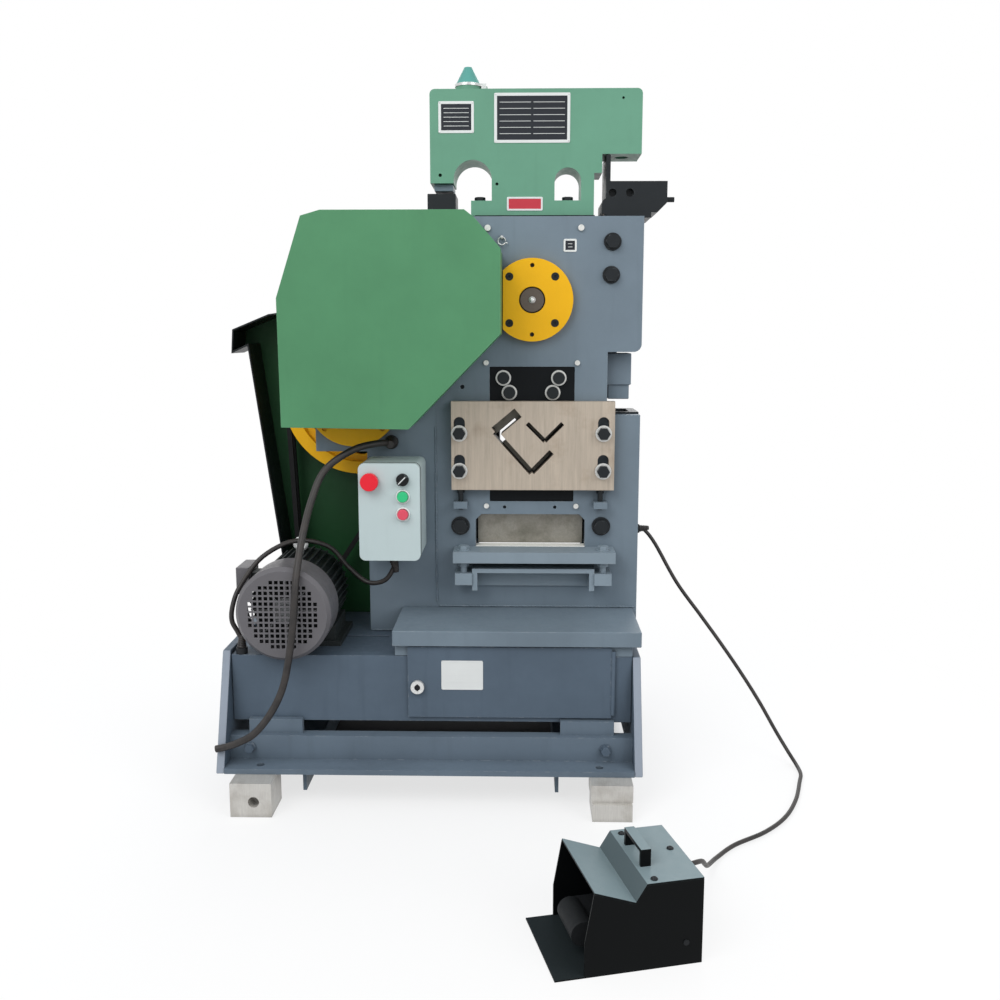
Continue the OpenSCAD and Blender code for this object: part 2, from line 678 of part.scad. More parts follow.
module oil_lid() color("#5fa79a") {
    lid_z = head_z1 + 14 + slide_gap;
    rod_z(oil_x, mid_y, cup_r + 1, lid_z, lid_z + 6);
    translate([oil_x, mid_y, lid_z + 6]) cylinder(r1 = 29, r2 = 9, h = 38, $fn = 48);
    rod_y(oil_x + 40, head_z1 + 12, 2.5, mid_y - 14, mid_y + 14);
    for (y = [mid_y - 14, mid_y + 9]) {
        box(oil_x + cup_r + 1, oil_x + 43, y, y + 5, head_z1 + 9, lid_z + 6);
        box(oil_x + 20, oil_x + cup_r + 2, y, y + 5, lid_z, lid_z + 6);
    }
}

module die_holder() color(black) difference() {
    union() {
        upright(mid_y - 62, mid_y + 62) polygon([[ram_x1 + 22, frame_top + 12], [frame_x1 + 34, frame_top + 12],
            [frame_x1 + 56, frame_top + 34], [frame_x1 + 56, frame_top + 82], [ram_x1 + 22, frame_top + 82]]);
        upright(mid_y - 62, mid_y + 62) round_rect(ram_x1 + 4, ram_x1 + 60, frame_top + 6, frame_top + 44, 12);
        box(ram_x1 + 16, frame_x1 + 20, mid_y - 62, mid_y + 62, frame_top, frame_top + 12);
        box(ram_x1 + 13, ram_x1 + 23, mid_y - 62, mid_y + 62, frame_top + 30, overhang_z - 3);
        rod_x(mid_y - 30, frame_top + 44, 6, frame_x1 + 50, frame_x1 + 76);
    }
    rod_z(punch_x, mid_y, punch_r + 10, frame_top - 1, frame_top + 83);
    for (x = [punch_x - 24, punch_x + 16]) rod_y(x, frame_top + 56, 9, mid_y - 63, mid_y - 45);
}

module lower_tools() color(black) {
    box(head_x0 - 8, head_x0 + 58, mid_y - 45, mid_y + 45, frame_top, arm_low - 22);
    difference() {
        box(throat_x + 2, frame_x1, plate_y1, rear_y0, throat_low - 44, throat_low + 5);
        box(throat_x + 5, throat_x + 57, mid_y - 46, mid_y + 46, throat_low - 45, throat_low + 6);
    }
}

module section_holder() color(black) difference() {
    box(sec_win_x0 - 1, sec_win_x1 + 1, plate_y0 + 2, plate_y1, sec_win_z0 - 1, sec_win_z1 + 1);
    upright(plate_y0 + 1, plate_y1 + 1) section_cuts(0);
    for (b = holder_bolts) rod_y(b[0], b[1], 9 + bolt_gap, plate_y0, plate_y0 + 27);
}

module section_plate() color(steel) difference() {
    box(sec_plate_x0, sec_plate_x1, plate_y0 - sec_plate_t - slide_gap, plate_y0 - slide_gap, sec_plate_z0,
        sec_plate_z1);
    upright(plate_y0 - sec_plate_t - 1, plate_y0) {
        section_cuts(0);
        for (b = sec_bolts) slot(b[0], b[1], b[1] + slot_travel + slot_spare, slot_r);
    }
    for (x = jack_xs) rod_z(x, jack_y, jack_r + bolt_gap, sec_plate_z0 - 1, sec_plate_z0 + 12);
}

module jack_screws() color(black) for (x = jack_xs) {
    rod_z(x, jack_y, jack_r, lug_z0 - 4, sec_plate_z0 + 12);
    translate([x, jack_y, sec_plate_z0 - 9]) cylinder(r = jack_r * 1.5, h = 8, $fn = 6);
}

module front_bolts() color(black) {
    for (b = cap_bolts) hex_bolt(b[0], b[1], b[2], plate_y0, 25);
    for (b = screws) {
        rod_y(b[0], b[1], b[2], plate_y0 - 5, plate_y0);
        rod_y(b[0], b[1], b[2] * 0.5, plate_y0, plate_y0 + 12);
    }
    for (b = sec_bolts) {
        rod_y(b[0], b[1], slot_r - 2, plate_y0 - sec_plate_t - 1, plate_y0 + 25);
        rod_y(b[0], b[1], clamp_r, plate_y0 - sec_plate_t - 5, plate_y0 - sec_plate_t - slide_gap - 0.4);
        translate([b[0], plate_y0 - sec_plate_t - 5, b[1]]) rotate([90, 0, 0])
            cylinder(r = 15, h = 13, $fn = 6);
    }
    for (b = flange_bolts) difference() {
        union() {
            rod_y(b[0], b[1], 6, plate_y0 - 10, plate_y0 + 20);
            rod_y(b[0], b[1], 9, plate_y0 - flange_t + 1, plate_y0 - 10);
        }
        translate([b[0], plate_y0 - flange_t + 5, b[1]]) rotate([90, 0, 0]) cylinder(r = 4.6, h = 6, $fn = 6);
    }
    for (b = holder_bolts) {
        rod_y(b[0], b[1], 9, plate_y0 - 8, plate_y0 + 26);
        rod_y(b[0], b[1], holder_washer_r, plate_y0 - 2, plate_y0 + 2);
        rod_y(b[0], b[1], 14, plate_y0 - 12, plate_y0 - 2);
    }
}

module strip_blade_lower() color(bright) {
    box(strip_x0, strip_x1, plate_y0, plate_y1 - 0.1, strip_z0 - strip_blade_h, strip_z0);
}

module table_bar() color(frame_grey) difference() {
    box(42, 420, plate_y0 - 74, plate_y0, 504, 530);
    for (x = [66, 392]) rod_z(x, plate_y0 - 46, 8, 503, 531);
}

module table_bracket() color(frame_grey) {
    for (x = [66, 392]) {
        box(x - 20, x + 20, plate_y0 - 66, plate_y0, 450, 478);
        rod_z(x, plate_y0 - 46, 8, 478, 533);
        translate([x, plate_y0 - 46, 492]) cylinder(r = 13, h = 12, $fn = 6);
        rod_z(x, plate_y0 - 46, 16, 530, 533);
        translate([x, plate_y0 - 46, 533]) cylinder(r = 13, h = 8, $fn = 6);
    }
    difference() {
        box(86, 372, plate_y0 - 60, plate_y0, 436, 488);
        box(98, 360, plate_y0 - 61, plate_y0 - 8, 435, 478);
    }
}

module bearing_flange() color(yellow) difference() {
    rod_y(crank_x, crank_z, flange_r, plate_y0 - flange_t, plate_y0);
    box(crank_x - 200, flange_cut, plate_y0 - flange_t - 1, plate_y0 + 1, crank_z - 200, crank_z + 200);
    rod_y(crank_x, crank_z, crank_r - 5, plate_y0 - flange_t - 1, plate_y0 + 1);
    for (b = flange_bolts) {
        rod_y(b[0], b[1], 6 + bolt_gap, plate_y0 - flange_t - 1, plate_y0 + 1);
        rod_y(b[0], b[1], 9 + bolt_gap, plate_y0 - flange_t - 1, plate_y0 - 10);
    }
    for (z = [-78, 78]) rod_y(crank_x, crank_z + z, 5, plate_y0 - flange_t - 1, plate_y0 + 1);
}

module crank_bushes() color("#a9793a") for (y = [plate_y0, rear_y0]) difference() {
    rod_y(crank_x, crank_z, crank_r + 13, y, y + plate_t);
    rod_y(crank_x, crank_z, crank_r + bush_gap, y - 1, y + plate_t + 1);
}

module crank_shaft() color("#6d5a4a") {
    rod_y(crank_x, crank_z, crank_r - 8, plate_y0 - flange_t - 2, plate_y0 + 0.5);
    rod_y(crank_x, crank_z, crank_r, plate_y0 + 0.5, gear_2_y0 + gear_2_w + 12);
    rod_y(crank_x, crank_z - throw, ring_r, ram_y0 + 16, ram_y1 - 16);
}

module gear_blank(x, z, turn, n, m, y0, w, bore) {
    rim = m * (n / 2 - 1.1) - 22;
    holes = rim > bore + 60;
    ring = (rim + bore + 14) / 2;
    difference() {
        translate([x, y0 + w, z]) rotate([90, 0, 0]) rotate(turn) linear_extrude(w)
            polygon(gear_outline(n, m));
        rod_y(x, z, bore, y0 - 1, y0 + w + 1);
        if (holes) for (a = [0 : 60 : 300])
            rod_y(x + ring * cos(a), z + ring * sin(a), (rim - bore - 26) / 2.6, y0 - 1, y0 + w + 1);
    }
}

module crank_gear() color("#5a5f63")
    gear_blank(crank_x, crank_z, mesh_2 + 180 + 180 / teeth_d, teeth_d, mod_2, gear_2_y0, gear_2_w, crank_r);

module counter_shaft() color("#777c80") {
    rod_y(counter_x, counter_z, counter_r, gear_1_y0 - 8, gear_2_y0 + gear_2_w + 8);
    gear_blank(counter_x, counter_z, mesh_2, teeth_c, mod_2, gear_2_y0, gear_2_w, counter_r);
}

module counter_gear() color("#5a5f63")
    gear_blank(counter_x, counter_z, mesh_1 + 180 + 180 / teeth_b, teeth_b, mod_1, gear_1_y0, gear_1_w,
        counter_r);

// Half section of a grooved wheel, turned about its axis
module grooved_wheel(x, z, r, web_t, rim_t, hub_r, bore) {
    translate([x, belt_y0 + belt_w, z]) rotate([90, 0, 0]) difference() {
        union() {
            difference() {
                cylinder(r = r, h = belt_w, $fn = 96);
                if (rim_t > 0) for (h = [-1, belt_w / 2 + web_t / 2]) translate([0, 0, h])
                    cylinder(r = r - rim_t, h = belt_w / 2 - web_t / 2 + 1, $fn = 96);
            }
            cylinder(r = hub_r, h = belt_w, $fn = 64);
        }
        translate([0, 0, -1]) cylinder(r = bore, h = belt_w + 2, $fn = 64);
        for (y = belt_ys) translate([0, 0, belt_y0 + belt_w - y - groove_w / 2]) difference() {
            cylinder(r = r + 1, h = groove_w, $fn = 96);
            translate([0, 0, -1]) cylinder(r = r - groove_d, h = groove_w + 2, $fn = 96);
        }
    }
}

module flywheel() color(yellow) difference() {
    grooved_wheel(fly_x, fly_z, fly_r, 18, 30, 55, fly_shaft_r);
    for (a = [30 : 60 : 330]) rod_y(fly_x + 110 * cos(a), fly_z + 110 * sin(a), 32, belt_y0 - 1,
        belt_y0 + belt_w + 1);
}

module flywheel_shaft() color("#777c80") {
    rod_y(fly_x, fly_z, fly_shaft_r, gear_1_y0 - 8, rear_y1 + 30);
    gear_blank(fly_x, fly_z, mesh_1, teeth_a, mod_1, gear_1_y0, gear_1_w, fly_shaft_r);
}

module bearing_caps() color(yellow)
    for (c = [[fly_x, fly_z, fly_shaft_r, fly_cap_r], [counter_x, counter_z, counter_r, 62]]) {
        difference() {
            union() {
                rod_y(c[0], c[1], c[2] + 15, plate_y0, plate_y0 + bracket_t);
                rod_y(c[0], c[1], c[3], plate_y0 - cap_t, plate_y0);
            }
            rod_y(c[0], c[1], c[2] + bush_gap, plate_y0 - cap_t - 1, plate_y0 + bracket_t + 1);
            for (a = [45 : 90 : 315]) rod_y(c[0] + (c[3] - 14) * cos(a), c[1] + (c[3] - 14) * sin(a), 6,
                plate_y0 - cap_t - 1, plate_y0 - cap_t + 6);
        }
        difference() {
            union() {
                rod_y(c[0], c[1], c[2] + 15, bracket_y, rear_y1);
                rod_y(c[0], c[1], 62, rear_y1, rear_y1 + cap_t / 2);
            }
            rod_y(c[0], c[1], c[2] + bush_gap, bracket_y - 1, rear_y1 + cap_t);
        }
    }

module drive_guard() color(guard_green) {
    upright(guard_y, guard_y + guard_t) polygon(guard_pts);
    difference() {
        upright(guard_y + guard_t, plate_y0) difference() {
            polygon(guard_pts);
            polygon(inset(guard_pts, guard_t));
        }
        rod_y(fly_x, fly_z, fly_cap_r + 2, plate_y0 - cap_t - 2, plate_y0 + 1);
    }
}

// Outline of the rear gears' cover, drawn in by a wall thickness
module rear_cover_outline(t) {
    across = [sin(mesh_2), -cos(mesh_2)];
    big_r = mod_2 * (teeth_d / 2 + 0.75) + 9 - t;
    small_r = mod_2 * (teeth_c / 2 + 0.75) + 9 - t;
    translate([crank_x, crank_z]) circle(r = big_r, $fn = 96);
    translate([counter_x, counter_z]) circle(r = small_r, $fn = 96);
    polygon([[counter_x, counter_z] + small_r * across, [crank_x, crank_z] + 0.9 * big_r * across,
        [crank_x, crank_z] - 0.9 * big_r * across, [counter_x, counter_z] - small_r * across]);
}

module gear_guard() color(frame_grey) {
    cover_y = gear_2_y0 + gear_2_w + 22;
    upright(cover_y, cover_y + guard_t) rear_cover_outline(0);
    upright(rear_y1, cover_y) difference() {
        rear_cover_outline(0);
        rear_cover_outline(guard_t);
    }
}

belt_wall = 4;
belt_front = -72;
belt_path = [[-376, 400], [-392, 520], [-455, 1003], [-494, 985], [-490, 1042], [-402, 1078], [-300, 1092]];

module belt_guard() color("#1f2123") {
    inner = path_in(belt_path, -belt_wall);
    upright(belt_front, bracket_y - belt_wall) polygon(concat(belt_path,
        [for (i = [len(inner) - 1 : -1 : 0]) inner[i]]));
}

module belt_back() color("#2f5a40") difference() {
    upright(bracket_y - belt_wall, bracket_y) polygon(concat([[-352, deck_z]], belt_path,
        [[-138, 1092], [-138, deck_z]]));
    rod_y(fly_x, fly_z, fly_shaft_r + 20, bracket_y - belt_wall - 1, bracket_y + 1);
}

module belt_outline(grow) hull() {
    translate([fly_x, fly_z]) circle(r = fly_r - groove_d + belt_lift + grow, $fn = 96);
    translate([motor_x, motor_z]) circle(r = pulley_r - groove_d + belt_lift + grow, $fn = 64);
}

module v_belts() color("#202020") for (y = belt_ys)
    upright(y - belt_b / 2, y + belt_b / 2) difference() {
        belt_outline(belt_h);
        belt_outline(0);
    }

fin_r = 98;
stator_r = 60;
boss_x = fin_r + 4;

module motor_body() color("#2f3434") {
    cowl_y = motor_y0 + cowl_l;
    difference() {
        union() {
            rod_y(motor_x, motor_z, 88, cowl_y, motor_y1);
            box(motor_x - boss_x, motor_x - 70, -240, -195, motor_z + 30, motor_z + 62);
            upright(cowl_y + 14, motor_y1 - 22) for (a = [0 : 10 : 350]) translate([motor_x, motor_z]) rotate(a)
                translate([80, -1.6]) square([fin_r - 80, 3.2]);
            for (x = [motor_x - 90, motor_x + 30]) box(x, x + 60, -245, -105, deck_z + 12, motor_z - 60);
            for (x = [motor_x - 105, motor_x + 35]) box(x, x + 70, -260, -90, deck_z, deck_z + 12);
        }
        rod_y(motor_x, motor_z, stator_r, cowl_y + 20, motor_y1 - 20);
        rod_y(motor_x, motor_z, motor_shaft_r + bush_gap, cowl_y - 1, motor_y1 + 1);
    }
    rod_z(motor_x, -170, 9, motor_z + 87, motor_z + 104);
    translate([motor_x, -170, motor_z + 116]) rotate([90, 0, 0]) rotate_extrude($fn = 48)
        translate([13, 0]) circle(r = 5, $fn = 24);
}

module motor_cowl() color("#7d7a7c") {
    wall = 2;
    pitch = 12;
    hole = 8;
    upright(motor_y0, motor_y0 + wall) difference() {
        translate([motor_x, motor_z]) circle(r = cowl_r - 8, $fn = 96);
        for (i = [-7 : 7], j = [-7 : 7]) if (norm([i, j]) * pitch < cowl_r - 26)
            translate([motor_x + i * pitch - hole / 2, motor_z + j * pitch - hole / 2]) square(hole);
    }
    translate([motor_x, motor_y0, motor_z]) rotate([-90, 0, 0]) rotate_extrude($fn = 96)
        polygon([[cowl_r - 8, 0], [cowl_r, 10], [cowl_r, cowl_l + 12], [cowl_r - wall, cowl_l + 12],
            [cowl_r - wall, 11], [cowl_r - 9, wall], [cowl_r - 8, wall]]);
    for (a = [0 : 90 : 270]) upright(motor_y0 + cowl_l, motor_y0 + cowl_l + 12)
        translate([motor_x, motor_z]) rotate(a + 45) translate([88, -7]) square([cowl_r - wall - 87.9, 14]);
}

module motor_rotor() color("#777c80") {
    fan_y = motor_y0 + 40;
    rod_y(motor_x, motor_z, motor_shaft_r, fan_y - 12, belt_y0 + belt_w + 6);
    rod_y(motor_x, motor_z, stator_r - 2, motor_y0 + cowl_l + 30, motor_y1 - 30);
    rod_y(motor_x, motor_z, 30, fan_y - 8, fan_y + 30);
    upright(fan_y, fan_y + 30) for (a = [0 : 45 : 315]) translate([motor_x, motor_z]) rotate(a)
        translate([28, -1.5]) square([50, 3]);
    grooved_wheel(motor_x, motor_z, pulley_r, belt_w, 0, pulley_r - groove_d, motor_shaft_r);
}

module terminal_box() color("#6b7072") {
    box(motor_x - boss_x - 30, motor_x - boss_x, -262, -172, motor_z + 16, motor_z + 78);
}

module control_box() color("#b8c6c6") difference() {
    upright(ctrl_y0, ctrl_y1) round_rect(ctrl_x0, ctrl_x0 + ctrl_w, ctrl_z0, ctrl_z0 + ctrl_h, 14);
    upright(ctrl_y0 + ctrl_t, ctrl_y1 - ctrl_t) round_rect(ctrl_x0 + ctrl_t, ctrl_x0 + ctrl_w - ctrl_t,
        ctrl_z0 + ctrl_t, ctrl_z0 + ctrl_h - ctrl_t, 10);
    for (b = [e_stop_at, selector_at, start_at, stop_at])
        rod_y(b[0], b[1], stem_r + slide_gap, ctrl_y0 - 1, ctrl_y0 + ctrl_t + 1);
}

// Push button: a cap on a stem that is kept in the box by a collar
module push_button(at, cap_r, cap_t) {
    rod_y(at[0], at[1], stem_r, ctrl_y0 - press - 1, ctrl_y0 + ctrl_t + 14);
    rod_y(at[0], at[1], stem_r + 4, ctrl_y0 + ctrl_t + slide_gap, ctrl_y0 + ctrl_t + 4);
    rod_y(at[0], at[1], cap_r, ctrl_y0 - press - 1 - cap_t, ctrl_y0 - press - 1);
}

module e_stop() color("#f02a3a") push_button(e_stop_at, 20, 16);

module start_button() color("#3ccb85") push_button(start_at, 12, 8);

module stop_button() color("#e8566a") push_button(stop_at, 12, 8);

module selector() color("#202225") {
    rod_y(selector_at[0], selector_at[1], stem_r, ctrl_y0 - 2, ctrl_y0 + ctrl_t + 14);
    rod_y(selector_at[0], selector_at[1], stem_r + 4, ctrl_y0 + ctrl_t + slide_gap, ctrl_y0 + ctrl_t + 4);
    rod_y(selector_at[0], selector_at[1], 14, ctrl_y0 - 8, ctrl_y0 - slide_gap);
    translate([selector_at[0], ctrl_y0 - 8, selector_at[1]]) rotate([0, 45, 0])
        translate([-4, -12, -13]) cube([8, 12, 26]);
}

module place_pedal() translate(pedal_at) rotate([0, 0, pedal_turn]) children();

module pedal_base() color("#24272a") place_pedal() {
    x0 = -pedal_l / 2;
    x1 = pedal_l / 2;
    hw = pedal_w / 2;
    box(x0, x1, -hw, hw, 0, pedal_t);
    for (y = [-hw, hw - pedal_t]) difference() {
        translate([0, y + pedal_t, 0]) rotate([90, 0, 0]) linear_extrude(pedal_t)
            polygon([[x0 + 50, pedal_t], [x1, pedal_t], [x1, pedal_h - pedal_t], [x0 + 157, pedal_h - pedal_t],
                [x0 + 137, pedal_h - 34], [x0 + 65, pedal_h - 8], [x0 + 50, 60]]);
        translate([treadle_x, y - 1, treadle_z]) rotate([-90, 0, 0])
            cylinder(r = pin_r + bush_gap, h = pedal_t + 2, $fn = 32);
    }
}

module pedal_hood() color("#2c3033") place_pedal() {
    x0 = -pedal_l / 2;
    x1 = pedal_l / 2;
    hw = pedal_w / 2;
    grip_y = 38;
    grip_x = x0 + 172;
    translate([0, hw, 0]) rotate([90, 0, 0]) linear_extrude(pedal_w)
        polygon([[x0 + 65, pedal_h - 8], [x0 + 137, pedal_h - 34], [x0 + 157, pedal_h - pedal_t],
            [x1, pedal_h - pedal_t], [x1, pedal_h], [x0 + 155, pedal_h], [x0 + 136, pedal_h - 30],
            [x0 + 66, pedal_h - 5]]);
    difference() {
        box(x1 - pedal_t, x1, -hw + pedal_t, hw - pedal_t, pedal_t, pedal_h - pedal_t);
        translate([x1 - pedal_t - 1, pedal_gland_y, pedal_gland_z]) rotate([0, 90, 0])
            cylinder(r = cable_d / 2, h = pedal_t + 2, $fn = 32);
    }
    for (y = [-grip_y, grip_y]) box(grip_x - 9, grip_x + 9, y - 4, y + 4, pedal_h, pedal_h + 24);
    box(grip_x - 9, grip_x + 9, -grip_y - 4, grip_y + 4, pedal_h + 24, pedal_h + 31);
}

module pedal_treadle() color("#1b1d1f") place_pedal() {
    hw = pedal_w / 2;
    plate_hw = hw - pedal_t - 12;
    tread_x = -62;
    box(tread_x + 10, treadle_x, -plate_hw, plate_hw, treadle_z - 3, treadle_z + 3);
    translate([treadle_x, hw + 2, treadle_z]) rotate([90, 0, 0]) cylinder(r = pin_r, h = pedal_w + 4, $fn = 32);
    translate([tread_x, 42, treadle_z + 4]) rotate([90, 0, 0]) cylinder(r = 22, h = 84, $fn = 48);
}

module gland_ring(r, d) difference() {
    cylinder(r = r, h = gland_l, $fn = 32);
    translate([0, 0, -1]) cylinder(r = d / 2 - 1.5, h = gland_l + 2, $fn = 32);
}

module glands() color("#2a2c2e") {
    translate(frame_gland) rotate([0, 90, 0]) gland_ring(11, cable_d);
    place_pedal() translate([pedal_l / 2, pedal_gland_y, pedal_gland_z]) rotate([0, 90, 0])
        gland_ring(11, cable_d);
    translate(power_gland) rotate([90, 0, 0]) gland_ring(16, power_d);
    translate(ctrl_gland - [0, 0, gland_l]) gland_ring(12, lead_d);
    translate(deck_gland) gland_ring(13, lead_d);
}

module pedal_cable() color("#1a1618") cord_tube(smooth(cable_route, 3), cable_d, 8, [1, 0, 0],
    [-cos(pedal_turn), -sin(pedal_turn), 0]);

module power_tail() color("#1a1618") cord_tube(smooth(power_route, 3), power_d, 10, [0, -1, 0], [-1, 0, 0]);

module motor_lead() color("#1a1618") cord_tube(smooth(lead_route, 3), lead_d, 8, [0, 0, -1], [0, 0, -1]);

front_plate();
rear_plate();
frame_spacers();
ram_gibs();
drive_bracket();
base_box();
base_ledge();
end_plates();
base_rails();
packers();
base_bolts();
tool_door();
door_lock();
ram_block();
punch_head();
head_bolts();
strip_blade_upper();
section_blade();
ram_tools();
oil_cup();
oil_lid();
die_holder();
lower_tools();
section_holder();
section_plate();
jack_screws();
front_bolts();
strip_blade_lower();
table_bar();
table_bracket();
bearing_flange();
crank_bushes();
crank_shaft();
crank_gear();
counter_shaft();
counter_gear();
flywheel();
flywheel_shaft();
bearing_caps();
drive_guard();
gear_guard();
belt_guard();
belt_back();
v_belts();
motor_body();
motor_cowl();
motor_rotor();
terminal_box();
control_box();
e_stop();
start_button();
stop_button();
selector();
pedal_base();
pedal_hood();
pedal_treadle();
glands();
pedal_cable();
power_tail();
motor_lead();
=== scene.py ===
import json
from math import cos, hypot, pi, radians, sin

import bmesh
import bpy
from mathutils import Matrix, Vector

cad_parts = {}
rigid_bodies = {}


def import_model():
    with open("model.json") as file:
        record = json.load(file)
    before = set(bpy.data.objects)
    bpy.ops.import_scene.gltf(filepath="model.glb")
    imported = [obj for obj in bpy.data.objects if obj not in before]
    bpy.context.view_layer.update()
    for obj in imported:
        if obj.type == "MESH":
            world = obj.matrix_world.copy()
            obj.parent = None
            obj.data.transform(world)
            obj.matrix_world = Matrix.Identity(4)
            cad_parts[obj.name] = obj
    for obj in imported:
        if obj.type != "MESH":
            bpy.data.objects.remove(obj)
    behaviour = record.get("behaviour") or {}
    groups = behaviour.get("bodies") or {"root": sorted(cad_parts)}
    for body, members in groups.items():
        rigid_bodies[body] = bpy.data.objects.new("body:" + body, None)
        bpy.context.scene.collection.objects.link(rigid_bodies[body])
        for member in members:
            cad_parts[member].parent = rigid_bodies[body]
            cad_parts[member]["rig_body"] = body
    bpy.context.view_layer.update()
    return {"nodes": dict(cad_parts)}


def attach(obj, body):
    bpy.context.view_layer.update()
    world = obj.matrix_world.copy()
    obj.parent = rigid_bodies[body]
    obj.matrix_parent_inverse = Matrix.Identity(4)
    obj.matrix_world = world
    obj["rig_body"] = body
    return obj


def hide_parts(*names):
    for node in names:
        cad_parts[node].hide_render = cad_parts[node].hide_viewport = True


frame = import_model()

# Studio: the camera stands at chest height, straight in front of the frame and a little to the right.
# A pale floor fades to white around the machine, and under its base its colour is painted nearly
# black, a painted shadow; two soft lamps stand in front of it and one behind.
EYE = (0.204, -2.58, 1.03)
PITCH_DOWN = radians(9.0)
YAW_LEFT = radians(1.26)
LENS_MM = 37.62
SENSOR_MM = 36.0
FAR_CLIP = 100.0
WHITE = (1.0, 1.0, 1.0, 1.0)
ROOM_TINT = (0.93, 0.96, 1.0, 1.0)
ROOM_STRENGTH = 0.68
FLOOR_HALF = 30.0
FLOOR_DROP = 0.0005
FLOOR_PALE = (0.93, 0.93, 0.93, 1.0)
FLOOR_BOUNCE = (0.42, 0.42, 0.42, 1.0)
FLOOR_SHADE = (0.03, 0.03, 0.035, 1.0)
SHADE_FRONT = (-0.12, -0.24)
SHADE_BACK = (0.24, 0.42)
SHADE_SIDE = (0.36, 0.50)
FADE_REACH = (0.7, 1.6)
FADE_LEAST = 0.72
LAMPS = (
    ("key_lamp", (-1.5, -2.9, 3.3), (0.1, -0.1, 0.8), 2.4, 68.0),
    ("fill_lamp", (2.4, -2.4, 2.2), (0.1, -0.1, 0.7), 2.0, 28.0),
    ("back_lamp", (0.3, 2.8, 3.0), (0.0, 0.0, 0.9), 2.4, 60.0),
)


def node(tree, kind, inputs=None, **settings):
    made = tree.nodes.new("ShaderNode" + kind)
    for key, value in settings.items():
        setattr(made, key, value)
    for key, value in (inputs or {}).items():
        if isinstance(value, bpy.types.NodeSocket):
            tree.links.new(value, made.inputs[key])
        else:
            made.inputs[key].default_value = value
    return made


def blank(name):
    made = bpy.data.materials.new(name)
    made.use_nodes = True
    tree = made.node_tree
    return made, tree, tree.nodes["Principled BSDF"]


def remap(tree, value, low, high, to_low=0.0, to_high=1.0):
    return node(tree, "MapRange", {"Value": value, "From Min": low, "From Max": high,
                                   "To Min": to_low, "To Max": to_high}).outputs["Result"]


def blended(tree, share, first, second):
    return node(tree, "Mix", {0: share, 6: first, 7: second}, data_type="RGBA").outputs[2]


def times(tree, first, second):
    return node(tree, "Math", {0: first, 1: second}, operation="MULTIPLY").outputs[0]


def larger(tree, first, second):
    return node(tree, "Math", {0: first, 1: second}, operation="MAXIMUM").outputs[0]


def ray_kinds(tree):
    rays = node(tree, "LightPath").outputs
    seen = larger(tree, rays["Is Camera Ray"], rays["Is Glossy Ray"])
    return larger(tree, seen, rays["Is Transmission Ray"]), rays["Is Diffuse Ray"]


def linked(made):
    bpy.context.scene.collection.objects.link(made)
    return made


eye = linked(bpy.data.objects.new("eye", bpy.data.cameras.new("eye")))
eye.data.lens = LENS_MM
eye.data.sensor_width = SENSOR_MM
eye.data.clip_end = FAR_CLIP
eye.location = EYE
eye.rotation_euler = (pi / 2 - PITCH_DOWN, 0.0, YAW_LEFT)
bpy.context.scene.camera = eye
bpy.context.scene.view_settings.view_transform = "Standard"

world = bpy.data.worlds.new("studio")
bpy.context.scene.world = world
world.use_nodes = True
sky = world.node_tree
direct, _ = ray_kinds(sky)
room = node(sky, "Background", {"Color": ROOM_TINT, "Strength": ROOM_STRENGTH})
white = node(sky, "Background", {"Color": WHITE, "Strength": 1.0})
shown = node(sky, "MixShader", {0: direct, 1: room.outputs[0], 2: white.outputs[0]})
sky.links.new(shown.outputs[0], sky.nodes["World Output"].inputs["Surface"])

floor_mesh = bpy.data.meshes.new("floor")
floor_mesh.from_pydata([(-FLOOR_HALF, -FLOOR_HALF, 0), (FLOOR_HALF, -FLOOR_HALF, 0),
                        (FLOOR_HALF, FLOOR_HALF, 0), (-FLOOR_HALF, FLOOR_HALF, 0)],
                       [], [(0, 1, 2, 3)])
floor = linked(bpy.data.objects.new("floor", floor_mesh))
floor.location.z = -FLOOR_DROP
pale, tree, bsdf = blank("pale_floor")
bsdf.inputs["Roughness"].default_value = 0.8
direct, bounced = ray_kinds(tree)
spot = node(tree, "TexCoord").outputs["Object"]
away = node(tree, "VectorMath", {0: spot}, operation="LENGTH").outputs["Value"]
across, along, _ = node(tree, "SeparateXYZ", {0: spot}).outputs
wide = node(tree, "Math", {0: across}, operation="ABSOLUTE").outputs[0]
# Painted shadow: under the base the floor's colour is blended to the nearly black FLOOR_SHADE, and
# the white glow is left out there.
ends = larger(tree, remap(tree, along, *SHADE_FRONT), remap(tree, along, *SHADE_BACK))
open_floor = larger(tree, remap(tree, wide, *SHADE_SIDE), ends)
shaded = blended(tree, open_floor, FLOOR_SHADE, FLOOR_PALE)
tree.links.new(blended(tree, bounced, shaded, FLOOR_BOUNCE), bsdf.inputs["Base Color"])
glow = node(tree, "Emission", {"Color": WHITE, "Strength": 1.0})
lit = times(tree, remap(tree, away, *FADE_REACH, FADE_LEAST, 1.0), open_floor)
fade = times(tree, lit, direct)
mixed = node(tree, "MixShader", {0: fade, 1: bsdf.outputs[0], 2: glow.outputs[0]})
tree.links.new(mixed.outputs[0], tree.nodes["Material Output"].inputs["Surface"])
floor_mesh.materials.append(pale)

for title, place, aim, size, watts in LAMPS:
    lamp = bpy.data.lights.new(title, "AREA")
    lamp.size = size
    lamp.energy = watts
    stand = linked(bpy.data.objects.new(title, lamp))
    stand.location = place
    stand.rotation_euler = (Vector(aim) - Vector(place)).to_track_quat("-Z", "Y").to_euler()

